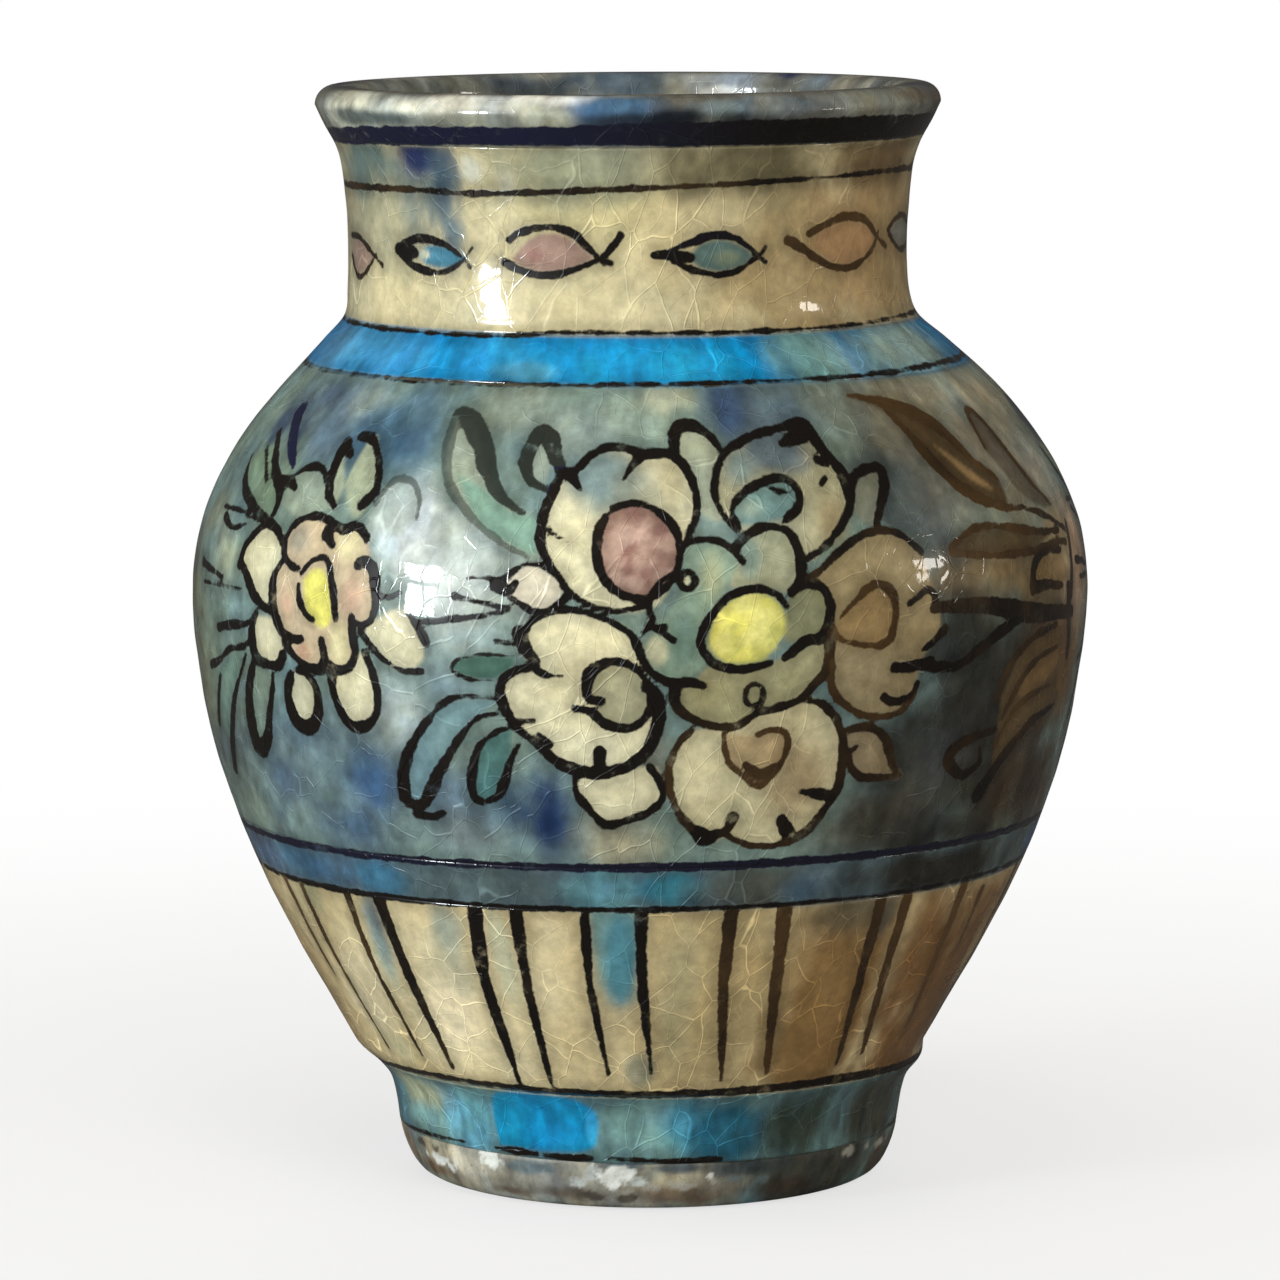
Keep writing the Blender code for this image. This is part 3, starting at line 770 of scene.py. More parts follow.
def brown_spray():
    """Spray of dilute brown leaves on the right."""
    dark, mid, pale = (80, 62, 34), (92, 74, 46), (152, 124, 82)
    return [
        fill(dark, 0.95, (36, 147.4), (45, 144.6), (50, 141), (53, 135.6), (57, 131.6), (56, 127.2),
             (50, 129.6), (45, 135), (42, 143)),
        fill(pale, 0.8, (46.6, 138.4), (49.0, 136.4), (54.6, 130.4), (50.6, 132.4)),
        fill((84, 74, 58), 0.85, (57.5, 137), (59, 142.5), (61.6, 143.6), (63.4, 136.6), (69, 126),
             (62, 128)),
        fill(dark, 0.85, (42.6, 121), (46, 123.4), (50, 124.4), (58, 123), (66, 121.4), (58, 119.2),
             (50, 119.3)),
        fill((140, 112, 70), 0.7, (58.3, 113), (60, 117), (67, 118), (69, 113), (63, 112)),
        fill(mid, 0.9, (52, 94), (56, 101.6), (66, 105), (68, 92), (58, 86), (53, 79)),
        fill((124, 96, 58), 0.6, (55, 95), (60, 100), (66, 101.6), (66, 97), (58, 93)),
        stroke((1.0, 2.2, 3.4, 2.4, 1.0), (35.2, 147.5), (40, 146.5), (45, 144.6), (49, 142),
               (51.5, 138.6), (53, 135.6), (57, 131.6), tone=0.45),
        stroke((1.2, 2.8, 3.0, 2.0, 1.0), (40.5, 145.4), (43, 140.4), (45, 135.4), (48, 131.2),
               (52, 128.6), (56, 127), (61, 126.4), tone=0.45),
        stroke((1.2, 1.8, 1.2), (58, 137), (59, 142), (61, 143.4), (62.5, 141), (63.6, 136), (66, 130),
               (69.5, 126), tone=0.5),
        stroke((1.2, 1.8, 1.4), (42.5, 121.4), (46, 123.5), (50, 124.4), (56, 123.5), (62, 122),
               (69, 121.4), tone=0.4),
        stroke((1.2, 1.6, 1.4), (42.5, 120.6), (50, 119.3), (58, 119), (66, 119.5), (71, 119), tone=0.45),
        stroke((2.2, 2.0, 1.4), (58, 112), (58.5, 115), (60, 117.4), (63, 118.5), (68, 118), tone=0.3),
        stroke((2.4, 1.6), (58, 112.4), (62, 112.6), (67, 111.8), tone=0.3),
        stroke((2.0, 3.2, 4.2, 3.4, 2.4), (38.6, 111.4), (42, 111.5), (48, 110.8), (55, 109), (62, 107.6),
               (71, 106.5), tone=0.2),
        stroke((2.4, 2.2, 2.8, 1.8), (37, 101.6), (40, 101), (43, 101), (47, 103.5), (52, 106.6),
               (57, 108.2), tone=0.1),
        stroke((1.4, 1.9, 1.2), (51, 93.5), (52.5, 98), (55, 101.5), (59, 104), (65, 105), tone=0.35),
        stroke((1.4, 1.8, 1.2), (53, 90), (56, 96), (60, 99.5), (66, 101), tone=0.4),
        stroke((1.3, 1.6, 1.0), (52, 85), (55, 90.4), (59, 93), (66, 94.2), tone=0.45),
        stroke((3.6, 2.6, 2.2, 1.2), (51, 76.4), (53, 80), (56, 84), (61, 88), (68, 90), tone=0.2),
        stroke((1.4, 2.2, 2.6, 2.0, 1.2), (52, 88.2), (48, 87.4), (44.6, 86.4), (43, 84), (46, 80.8),
               (49.4, 82.2), (49, 85), tone=0.2),
        stroke((1.2, 1.7, 1.0), (60, 126.6), (66, 124.4), (72, 121), tone=0.4),
        stroke((1.4, 2.2, 1.8), (73.4, 122.4), (72, 116), (70.4, 109), tone=0.35),
        stroke((2.6, 3.0, 1.8), (69.4, 111), (69.8, 104), (70.4, 98.5), tone=0.3),
    ]


FISH_LENGTH = 11.0
FISH_TALL = 4.4


def neck_fish(centre, colour, tone, level, dark_head):
    """Fish of two brush lines that cross at the tail, head to the left."""
    def spots(*shares):
        return [(centre + across * FISH_LENGTH, level + up * FISH_TALL) for across, up in shares]

    body = spots((-0.9, 0), (-0.3, 0.8), (0.4, 0.6), (0.8, -0.3 / FISH_TALL), (0.2, -0.7), (-0.5, -0.6))
    back = spots((-0.95, 0.2), (-0.55, 0.75), (-0.1, 1), (0.4, 0.7), (0.8, -0.1), (1.05, -0.45))
    belly = spots((-1, 0), (-0.6, -0.6), (-0.1, -0.85), (0.4, -0.6), (0.8, 0), (1.08, 0.7))
    marks = [
        fill(colour, 0.8, *body),
        stroke((1.0, 1.5, 1.3, 0.9), *back, tone=tone),
        stroke((1.4, 1.5, 1.2, 1.0), *belly, tone=tone),
    ]
    if dark_head:
        marks.append(stroke((2.2, 3.4, 1.4), *spots((-0.98, 0), (-0.78, 0), (-0.5, -0.1)), tone=tone))
    return marks


def photographed_fish():
    """The fish on the front, each drawn in its own hand."""
    mauve, blush = (160, 128, 116), (176, 138, 96)
    return [
        fill(mauve, 0.75, (-77, 170), (-74, 173), (-69, 172.4), (-63, 170.2), (-68, 167.2), (-72, 166.6)),
        stroke((1.2, 1.4, 1.0), (-78, 173.2), (-72, 173.4), (-68, 172.5), (-63, 170.5), (-59, 168.7),
               tone=0.2),
        stroke((1.2, 1.4, 1.0), (-77, 169.6), (-73, 166.6), (-70, 166.1), (-66, 167.5), (-61.6, 170.6),
               tone=0.2),
        fill((64, 134, 160), 0.95, (-46.5, 171.4), (-43, 173), (-38, 172.8), (-34, 171), (-38, 169.2),
             (-44, 169.6)),
        oval(PETAL, 0.7, (-44.5, 171.4), (2.0, 1.2), 0.6),
        stroke((1.8, 2.0, 1.6, 1.0), (-53, 172), (-50, 173.2), (-46, 174.2), (-42, 174), (-38, 173),
               (-35, 171.4)),
        stroke((2.6, 3.8, 2.4), (-52.6, 171.9), (-50.6, 171.6), (-47.6, 171.4)),
        stroke((2.0, 1.6, 1.4, 0.9), (-52, 171.2), (-49, 169.6), (-45, 168.5), (-40, 168.3), (-36, 169.6),
               (-33.6, 171.5), (-32.3, 172.9)),
        stroke(0.9, (-34.4, 171.2), (-32.8, 169.4)),
        fill(mauve, 0.9, (-23.6, 171), (-19, 175), (-13, 175.6), (-8, 172.8), (-7, 171.2), (-13, 169.2),
             (-19, 169.2)),
        oval((150, 104, 98), 0.7, (-18.5, 172), (2.6, 1.6), 0.9),
        stroke((1.4, 1.6, 1.8, 1.4), (-24, 174.6), (-21, 176), (-16, 177), (-11, 176), (-8.5, 174),
               (-6, 171.8), (-4.6, 170.9), tone=0.1),
        stroke((1.5, 1.7, 1.4, 1.5), (-25, 170.6), (-22, 169.4), (-18, 168.5), (-14, 168.6), (-10, 169.7),
               (-6.5, 171), (-4.5, 172), (-2.5, 174), (-1.3, 175.6), tone=0.05),
        stroke(1.4, (-5, 171.2), (-3.2, 170.7)),
        fill((88, 118, 114), 0.95, (12, 171.6), (15, 174), (20, 174.4), (25.5, 171.6), (21, 169.2),
             (15, 169.4)),
        oval((128, 136, 108), 0.7, (20, 171.4), (3.4, 1.6), 0.8),
        stroke((1.8, 2.6, 2.2), (5.3, 172), (8, 172), (12.4, 171.4)),
        stroke((1.3, 1.7, 1.4, 1.0), (8, 172.5), (12, 174), (17, 175.3), (21, 175), (24, 173.5),
               (26.5, 171.6), (28.4, 170.3), tone=-0.2),
        stroke((1.6, 1.5, 1.3, 1.0), (9, 171), (13, 169.4), (18, 168.4), (22, 169), (25, 170.5),
               (27, 171.7), (28.2, 173)),
        fill(blush, 0.8, (39, 173), (44, 176), (54, 176.4), (60, 173), (55, 170), (47, 169.4)),
        stroke((1.6, 1.9, 1.6, 0.9), (38.8, 175), (43, 176.4), (48, 177.6), (54, 177.2), (58, 175.5),
               (61, 173.4), (65.5, 171.4), tone=0.55),
        stroke((2.2, 1.5, 1.6, 1.0), (33.4, 174), (36, 172.9), (41, 170.5), (45, 169), (50, 168.5),
               (55, 169.5), (59, 171.5), (61.6, 174.5), tone=0.5),
        fill((122, 128, 122), 0.8, (67, 174), (72, 175.8), (80, 175.6), (86, 173.4), (78, 171),
             (71, 171.6)),
        stroke((1.2, 1.4, 1.0), (66, 174.4), (70, 176), (76, 176.6), (83, 175), (90, 171.6), tone=0.4),
        stroke((1.2, 1.4, 1.0), (67, 173.6), (71, 171.5), (77, 170.4), (84, 171.6), (90, 175), tone=0.4),
    ]


def fish_band():
    marks = photographed_fish()
    colours = [ROSE, (86, 152, 172), (176, 146, 130), (120, 150, 138), ROSE, (86, 152, 172)]
    for step, colour in enumerate(colours):
        centre = 108.0 + 29.0 * step
        level = 171.8 + 0.8 * math.sin(1.7 * step)
        marks += neck_fish(centre, colour, 0.1 + 0.08 * (step % 3), level, dark_head=step % 2)
    return marks


def ring_line(width, tone, level, *changes):
    """Painted line round the pot; its height wanders by the changes, as (degrees, millimetres)."""
    points = [(degree, level + rise) for degree, rise in changes]
    start, end = points[0], points[-1]
    points.append((180.0, 0.5 * (start[1] + end[1])))
    points.append((start[0] + 360.0, start[1]))
    return stroke(width, *points, tone=tone)


def ring_lines():
    uneven = (1.2, 1.5, 0.9, 1.4, 1.6, 1.1, 1.4)
    return [
        ring_line((2.8, 3.7, 3.4, 4.6, 4.8, 4.5, 3.8, 3.4, 3.7, 4.0, 3.4, 3.2, 2.8),
                  (-0.5, -0.5, -0.5, -0.3, 0.0, 0.15, 0.1, -0.2, -0.5, -0.5, -0.2, -0.4, -0.5), 192.0,
                  (-80, -0.7), (-40, 0.7), (-20, 0.9), (0, 1.2), (40, 1.2), (80, 0.9)),
        ring_line((1.5, 1.3, 0.9, 1.7, 1.8, 1.6, 1.3), 0.25, 183.2, (-80, -0.8), (-50, -0.4), (-30, -0.6),
                  (-10, 0.1), (20, 1.0), (45, 1.6), (75, 1.8)),
        ring_line((0.9, 1.0, 0.8, 1.1, 0.8), 0.0, 158.2, (-80, -0.6), (-30, -0.6), (-10, 0.4), (20, 0.2),
                  (50, 0.4), (80, 0.7)),
        ring_line((0.8, 1.1, 0.9, 0.8), 0.0, 150.0, (-80, -0.4), (-30, -0.2), (0, 0.2), (40, 0.5),
                  (80, 1.0)),
        ring_line((1.4, 1.9, 1.6, 1.9, 1.5), -0.4, 67.2, (-80, -0.9), (-40, -0.4), (0, 0.2), (40, 0.6),
                  (80, 0.5)),
        ring_line(uneven, -0.1, 59.5, (-80, -0.6), (-40, -0.3), (0, 0.0), (40, 0.4), (80, 0.6)),
        ring_line((1.4, 1.8, 1.2, 1.5), 0.15, 23.0, (-80, -0.9), (-50, 0.4), (0, 0.0), (40, 0.3),
                  (80, -0.6)),
        stroke((0.7, 1.6, 1.1), (-37, 10.4), (-31, 10.2), (-26, 10.1)),
        stroke((1.0, 1.8, 1.0), (-24, 10.1), (-18, 9.9), (-13, 10.1)),
        stroke((0.9, 1.3, 1.9, 1.1), (-9, 10.2), (-3, 10), (6, 9.7), (16, 9.9)),
        stroke((0.6, 1.2, 0.8), (-78, 9.4), (-62, 10), (-46, 10.4), tone=0.2),
        stroke((1.2, 2.0, 1.0), (70, 9.6), (100, 10.2), (140, 9.8)),
        stroke((1.0, 1.8, 1.2), (176, 9.8), (210, 10.2), (240, 9.8)),
    ]


def stripes():
    """Pairs of tapering stripes down the lower wall; the front ones as photographed, the rest by rule."""
    front = [
        ((-64.5, 58.5), (-64, 48), (-63.4, 40), 1.5, 0.7), ((-59, 58), (-58.6, 44), (-57, 27), 1.3, 0.6),
        ((-47, 58.5), (-47.5, 44), (-46, 27.5), 1.4, 0.4),
        ((-40.5, 58.2), (-40, 44), (-38.8, 26), 2.2, 0.2),
        ((-24, 58.5), (-25, 45), (-24, 24.5), 2.2, 0.0),
        ((-17.8, 58.5), (-18, 44), (-17.4, 24.5), 1.8, 0.05),
        ((-7.8, 58.2), (-7.8, 44), (-5.9, 27), 1.4, 0.1), ((0.2, 58.2), (0.4, 44), (2.1, 27.4), 1.7, 0.0),
        ((13, 58.5), (13.3, 44), (15.6, 25.6), 1.9, 0.4), ((21, 58.5), (22, 44), (24.6, 26.4), 2.1, 0.5),
        ((37, 58.5), (38, 44), (40.6, 26.6), 1.9, 0.4), ((42, 58.5), (43.2, 44), (46.6, 28), 1.9, 0.5),
        ((55, 58.5), (56, 44), (58.5, 31), 1.9, 0.8), ((61.4, 57), (62, 52), (62.4, 45), 1.4, 0.9),
    ]
    marks = []
    for top, middle, end, width, tone in front:
        taper = (1.5 * width, 1.25 * width, 1.05 * width, 0.6 * width)
        marks.append(stroke(taper, top, middle, end, tone=tone))
    for pair in range(10):
        centre = 78.0 + 21.0 * pair + 1.6 * math.sin(2.3 * pair)
        gap = 3.0 + 0.7 * math.sin(1.9 * pair)
        for side in (-gap, gap):
            lean = 1.2 + 0.6 * math.sin(centre + side)
            width = 1.8 + 0.4 * math.sin(3.1 * pair + side)
            taper = (1.2 * width, width, 0.8 * width, 0.5 * width)
            top = (centre + side, 59.5)
            middle = (centre + side + 0.3, 44)
            end = (centre + side + lean, 26.5 + 1.5 * math.sin(pair))
            marks.append(stroke(taper, top, middle, end, tone=0.25 + 0.25 * math.sin(pair + side)))
    return marks


def wall_washes():
    """Colour washes on the lower wall, the narrow band above it and the foot; on the lower wall they
    include painted highlight and painted shade.
    """
    wall = [
        # Painted light on the lower wall: the pale cream washes left of the middle are partly painted
        # highlight; the tan at -76 degrees and the browns from 14 to 104 degrees are painted shade, darker
        # and warmer towards the edges, most on the right, fading round the back.
        ((-76, 40), (14, 30), (170, 146, 104), 0.9), ((-30, 42), (30, 20), (214, 202, 162), 0.7),
        ((-33, 38), (7, 9), (236, 222, 184), 0.7), ((-53, 36), (9, 12), (214, 202, 166), 0.7),
        ((14, 40), (14, 30), (174, 154, 108), 0.85), ((34, 40), (16, 30), (132, 100, 54), 0.95),
        ((26, 40), (6, 24), (134, 106, 62), 0.5), ((48, 40), (6, 24), (84, 58, 30), 0.5),
        ((60, 40), (24, 30), (114, 80, 40), 0.98), ((-29, 55), (4, 7), (136, 142, 126), 0.8),
        ((-57, 57), (5, 5), (140, 148, 118), 0.6), ((-44, 47), (2.6, 8), (166, 178, 156), 0.7),
        ((-21, 51), (2.4, 11), (168, 176, 150), 0.6), ((33, 57), (10, 5), (96, 88, 66), 0.8),
        ((6, 42), (4, 14), (160, 156, 120), 0.5), ((39, 56), (2.4, 6), (80, 78, 66), 0.7),
        ((0, 28), (3, 4), (120, 128, 116), 0.7), ((-52, 28), (6, 4), (176, 174, 138), 0.6),
        ((88, 40), (14, 30), (150, 122, 80), 0.8), ((104, 40), (14, 30), (178, 158, 114), 0.7),
    ]
    band = [
        ((-70, 63), (12, 6), (72, 92, 118), 0.9), ((-54, 63), (12, 6), (62, 102, 130), 0.95),
        ((-39, 63), (7, 5), (60, 110, 130), 0.95), ((-21, 63), (15, 6), (74, 90, 92), 0.95),
        ((-5, 63), (6, 6), (96, 146, 150), 0.9), ((4, 63.5), (6, 4), (46, 108, 124), 1.0),
        ((17, 63), (10, 6), (78, 86, 82), 0.95), ((23, 62), (4, 4), (62, 92, 116), 0.6),
        ((50, 63), (30, 6), (40, 40, 36), 1.0),
    ]
    foot = [
        ((-62, 18), (18, 6), (160, 168, 142), 0.9), ((-60, 13), (22, 4), (122, 164, 164), 0.9),
        ((-43, 15), (9, 8), (98, 164, 184), 0.9), ((-4, 16), (12, 8), (110, 148, 148), 0.95),
        ((8, 16), (7, 7), (62, 126, 144), 0.95), ((18, 15), (10, 8), (26, 92, 118), 0.95),
        ((36, 15), (13, 9), (52, 64, 56), 1.0), ((62, 15), (22, 9), (60, 62, 52), 1.0),
    ]
    marks = washes(wall + band + foot, 0.75)
    marks += [
        oval((110, 150, 148), 0.95, (-3.7, 53), (4.2, 13), 0.6),
        oval((74, 134, 150), 0.9, (-2.9, 49), (3.0, 9.5), 0.7),
        oval((128, 146, 136), 0.5, (-29.5, 51), (4.2, 10), 0.8),
        oval((118, 142, 144), 0.8, (-43.6, 51), (2.6, 10), 0.8),
        oval((96, 112, 116), 0.7, (-42.6, 55), (2.0, 6), 0.8),
        fill((6, 140, 184), 1.0, (-35.5, 11), (-36, 17), (-33, 21.4), (-24, 22.2), (-15, 21.4),
             (-11.4, 18.6), (-11.4, 15), (-13.4, 11.6), (-24, 10.8)),
        oval((60, 176, 226), 0.7, (-12.6, 16.5), (1.6, 4), 0.8),
    ]
    blues = ((40, 98, 156), (84, 128, 138), (58, 84, 116), (112, 136, 126), (24, 118, 180))
    for step in range(11):
        centre = 84.0 + 18.6 * step + 6.0 * math.sin(2.1 * step)
        width = 9.0 + 4.0 * math.sin(1.3 * step + 1.0)
        marks.append(oval(blues[step % 5], 0.85, (centre, 63), (width, 6), 0.8))
        marks.append(oval(blues[(2 * step + 1) % 5], 0.9, (centre + 7, 16), (width + 2, 8), 0.7))
        marks.append(oval((150, 142, 112), 0.5, (centre + 4, 50 - step % 4), (5, 9), 0.9))
    return marks


def belly_washes_and_painted_light():
    """Watery slate, cobalt and cream washes in the belly's ground, with brown painted shade on the right
    and pale painted highlight on the left.
    """
    slate, grey, dun = (74, 96, 104), (112, 128, 122), (168, 168, 140)
    front = [
        # Painted shade: the dark brown washes from 30 to 105 degrees, this first one among them, lay the
        # right side's warm shadow into the ground, fading towards the back.
        ((58, 90), (30, 36), (66, 58, 45), 1.0), ((60, 134), (26, 22), (126, 120, 100), 0.95),
        ((-44, 80), (30, 18), (106, 124, 124), 1.0), ((-50, 142), (18, 9), (90, 110, 118), 0.9),
        ((-78, 100), (14, 40), (104, 106, 88), 0.95), ((-74, 124), (10, 9), (150, 152, 126), 0.8),
        ((-66, 117), (8, 8), (160, 166, 138), 0.7), ((-68, 106), (8, 9), (106, 122, 106), 0.8),
        ((-66, 82), (14, 18), (84, 96, 94), 0.9), ((-62, 143), (12, 8), (78, 92, 104), 0.9),
        ((-48, 146), (9, 4), (130, 140, 130), 0.7), ((-39, 140), (10, 9), (74, 100, 114), 0.98),
        ((-52, 139), (8, 6), (84, 102, 112), 0.8), ((-57, 146), (7, 4), (70, 86, 104), 0.85),
        ((-36, 146), (9, 5), (100, 126, 132), 0.7), ((-46, 79), (18, 14), (98, 120, 122), 0.95),
        ((-53, 79), (6, 7), (62, 82, 108), 0.6), ((-36, 79), (6, 11), (46, 74, 102), 0.95),
        # Painted highlight: the pale washes at (-30, 125), (-23, 117) and (-32, 94) are glare round the
        # left window's reflection.
        ((-42, 72), (16, 6), (66, 88, 104), 0.9), ((-30, 125), (8, 10), (220, 228, 226), 1.0),
        ((-23, 117), (11, 14), (186, 197, 192), 1.0), ((-25, 101), (7, 9), (124, 144, 142), 0.8),
        ((-50, 86), (10, 5), (92, 112, 118), 0.8), ((-26, 78), (6, 9), (96, 114, 120), 0.8),
        ((-32, 94), (6, 9), (158, 174, 176), 0.9), ((-22, 73), (8, 6), (112, 120, 110), 0.8),
        ((-17, 79), (6, 9), (62, 88, 108), 0.9), ((-12, 76), (5.8, 11), (24, 46, 80), 1.0),
        ((-3, 72), (7, 7), (154, 152, 128), 0.95), ((2, 86), (3, 9), (112, 112, 94), 0.8),
        ((-20, 146), (9, 6), (150, 158, 136), 0.7), ((-2, 145), (9, 5), (136, 152, 136), 0.8),
        ((5, 148), (5, 3), (172, 172, 146), 0.6), ((14, 145), (6.5, 9), (50, 72, 104), 0.95),
        ((22, 147), (7, 5), (88, 106, 114), 0.9), ((32, 146), (9, 7), (108, 118, 108), 0.9),
        ((40, 131), (9, 14), (104, 102, 90), 0.95), ((35, 132), (7, 14), (80, 90, 88), 0.98),
        ((42, 118), (8, 9), (66, 72, 72), 0.95), ((44, 142), (9, 8), (112, 110, 96), 0.9),
        ((52, 147), (16, 6), (140, 134, 112), 0.9), ((70, 146), (16, 8), (170, 162, 138), 0.95),
        ((56, 116), (22, 8), (122, 104, 72), 0.95), ((47, 88), (17, 28), (48, 46, 38), 1.0),
        ((42, 104), (9, 10), (50, 52, 46), 1.0), ((36, 84), (8, 16), (54, 56, 50), 0.98),
        ((43, 84), (6, 8), (66, 70, 72), 0.6), ((64, 76), (16, 12), (58, 46, 32), 0.98),
        ((67, 96), (13, 12), (104, 78, 46), 0.95), ((32, 73), (12, 9), (68, 66, 56), 0.95),
        ((76, 116), (9, 16), (176, 146, 118), 0.95), ((70, 133), (12, 9), (166, 160, 140), 0.9),
        ((56, 139), (8, 8), (128, 118, 96), 0.8), ((86, 84), (15, 22), (92, 86, 70), 0.85),
        ((90, 112), (14, 20), (126, 118, 98), 0.8), ((88, 138), (14, 14), (136, 134, 116), 0.8),
        ((102, 92), (16, 26), (108, 116, 104), 0.6), ((-40, 140), (9, 8), (64, 92, 108), 0.95),
        ((-9, 142), (7, 5), (148, 162, 148), 0.85), ((68, 121), (6, 8), (172, 152, 112), 0.95),
        ((46, 71), (12, 6), (42, 42, 38), 0.95),
    ]
    marks = washes(front, 0.85)
    for step in range(26):
        centre = (84.0 + 7.6 * step, 108 + 36 * math.sin(2.4 * step + 0.6))
        colour = (slate, (46, 68, 118), grey, dun)[step % 4]
        marks.append(oval(colour, 0.8, centre, (8 + 3 * math.sin(step), 12), 0.85))
    return marks


def neck_washes():
    """Cobalt run from the lip, the neck's warm and grey washes, the warm ones on the right partly painted
    shade, and the mottled lip with painted shadow under its roll and painted highlight on its top and
    inside the mouth.
    """
    neck = [
        ((-74, 176), (18, 20), (150, 144, 118), 0.9), ((-18, 168), (22, 12), (206, 194, 150), 0.7),
        ((-54, 180), (18, 14), (136, 140, 116), 0.8), ((-10, 181), (28, 9), (194, 184, 138), 0.8),
        # Partly painted shade: the tan and brown washes from 26 to 74 degrees carry the right side's warm
        # shadow.
        ((26, 180), (24, 12), (158, 144, 102), 0.8), ((58, 182), (20, 14), (138, 114, 74), 0.8),
        ((18, 172), (18, 18), (194, 180, 138), 0.8), ((48, 172), (22, 20), (176, 148, 104), 0.9),
        ((74, 172), (22, 20), (158, 134, 92), 0.9), ((98, 172), (18, 20), (182, 164, 122), 0.8),
        ((-62, 187), (18, 8), (96, 114, 108), 0.98),
        ((-12, 188), (24, 8), (152, 154, 126), 0.98), ((26, 188), (26, 8), (110, 102, 74), 0.98),
        ((58, 188), (26, 9), (112, 92, 60), 0.98), ((34, 170), (16, 16), (172, 152, 108), 0.8),
        ((-56, 176), (10, 12), (184, 176, 140), 0.6),
        ((-41, 183), (11, 15), (112, 124, 120), 0.95), ((-43, 189), (11, 6), (34, 46, 84), 1.0),
        ((-38.5, 184), (5.4, 11), (72, 92, 104), 0.98), ((-37, 175), (4.2, 8), (88, 108, 116), 0.9),
        ((-31.5, 187), (3.4, 3.6), (198, 200, 184), 0.9), ((-24, 184), (3, 5), (180, 180, 160), 0.7),
        ((150, 187), (10, 10), (44, 56, 100), 0.9), ((215, 186), (20, 8), (112, 130, 124), 0.8),
    ]
    lip = [
        # Painted light on the lip: the pale washes on its top and left are partly painted highlight, the
        # dark washes at 193 to 196 mm are painted shadow under the roll, and the browns on the right are
        # partly painted shade.
        ((-62, 196), (26, 7), (212, 212, 190), 1.0), ((-44, 196.6), (14, 4), (220, 222, 204), 0.9),
        ((-28, 199), (24, 3.2), (208, 208, 196), 0.95), ((-52, 195.5), (28, 2.4), (84, 94, 90), 0.95),
        ((-13, 200), (16, 2.4), (210, 210, 202), 0.95), ((-26, 193.4), (14, 1.2), (80, 86, 82), 0.8),
        ((-8, 193.4), (22, 1.2), (66, 74, 76), 0.8),
        ((-66, 199), (14, 1.8), (140, 140, 126), 0.6), ((-27, 195.5), (10, 2.8), (164, 168, 152), 0.9),
        ((-20, 198.5), (8, 1.8), (186, 188, 176), 0.9), ((-14, 196.2), (7, 2.6), (182, 186, 166), 0.95),
        ((-2, 198), (12, 5), (64, 96, 126), 1.0), ((-1, 195), (9, 2.4), (42, 52, 64), 0.95),
        ((18, 197.4), (9, 3), (112, 132, 142), 0.9), ((8, 196.1), (9, 2.8), (20, 28, 40), 0.95),
        ((21, 195.6), (9, 2.4), (44, 50, 52), 0.95), ((31, 198), (15, 3), (88, 104, 120), 0.95),
        ((54, 197), (30, 8), (128, 132, 124), 1.0), ((66, 199), (12, 2), (110, 98, 80), 0.7),
        ((86, 197), (16, 6), (84, 74, 60), 0.9), ((34, 194), (16, 2.4), (40, 42, 44), 0.95),
    ]
    marks = washes(neck + lip, 0.7)
    for step in range(12):
        colour = ((152, 152, 136), (174, 170, 150), (132, 136, 126))[step % 3]
        marks.append(oval(colour, 0.95, (30.0 * step, 215.0), (24, 13), 0.7))
    marks += [
        oval((62, 72, 78), 0.95, (203, 208), (17, 6), 0.7),
        oval((100, 104, 98), 0.9, (222, 208), (9, 5), 0.8),
        oval((82, 100, 112), 0.9, (181, 208), (12, 6), 0.8),
        oval((146, 154, 160), 0.9, (156, 208), (12, 5), 0.7),
        oval((136, 146, 146), 0.9, (134, 208), (9, 5), 0.8),
        # Painted highlight: a white glare on the far inside of the mouth.
        oval((232, 234, 228), 0.9, (157, 211), (7, 2), 0.6),
        oval((36, 46, 86), 0.95, (142, 206), (5, 2.6), 0.7),
    ]
    for step in range(9):
        centre = 104.0 + 19.0 * step + 8.0 * math.sin(1.9 * step)
        level = 198.5 + 2.5 * math.sin(2.6 * step)
        colour = ((34, 46, 84), (158, 160, 148), (78, 88, 96), (120, 116, 100))[step % 4]
        marks.append(oval(colour, 0.9, (centre, level), (12 + 4 * math.sin(step), 4.5), 0.7))
    for step in range(14):
        centre = 25.7 * step + 7.0 * math.sin(2.3 * step)
        colour = ((150, 148, 132), (52, 62, 88), (112, 108, 94), (176, 174, 160))[(3 * step) % 4]
        marks.append(oval(colour, 0.8, (centre, 203.5 + math.sin(1.7 * step)), (11, 3.4), 0.8))
    return marks


def shoulder_washes():
    spots = [
        ((-72, 154), (14, 7), (82, 138, 168), 0.9), ((-52, 154), (14, 7), (66, 142, 184), 0.8),
        ((-27, 154), (10, 6), (48, 154, 200), 0.6), ((-18, 152), (8, 2), (110, 170, 180), 0.5),
        ((33, 154), (10, 7), (108, 154, 156), 0.95), ((60, 154), (24, 8), (154, 182, 176), 0.95),
        ((120, 154), (16, 6), (92, 140, 156), 0.7), ((190, 154), (20, 6), (60, 132, 176), 0.7),
        ((250, 154), (14, 6), (110, 150, 164), 0.6), ((-9, 153), (14, 5), (30, 160, 206), 0.3),
        ((9, 153), (8, 5), (36, 164, 210), 0.6),
    ]
    return washes(spots, 0.75)


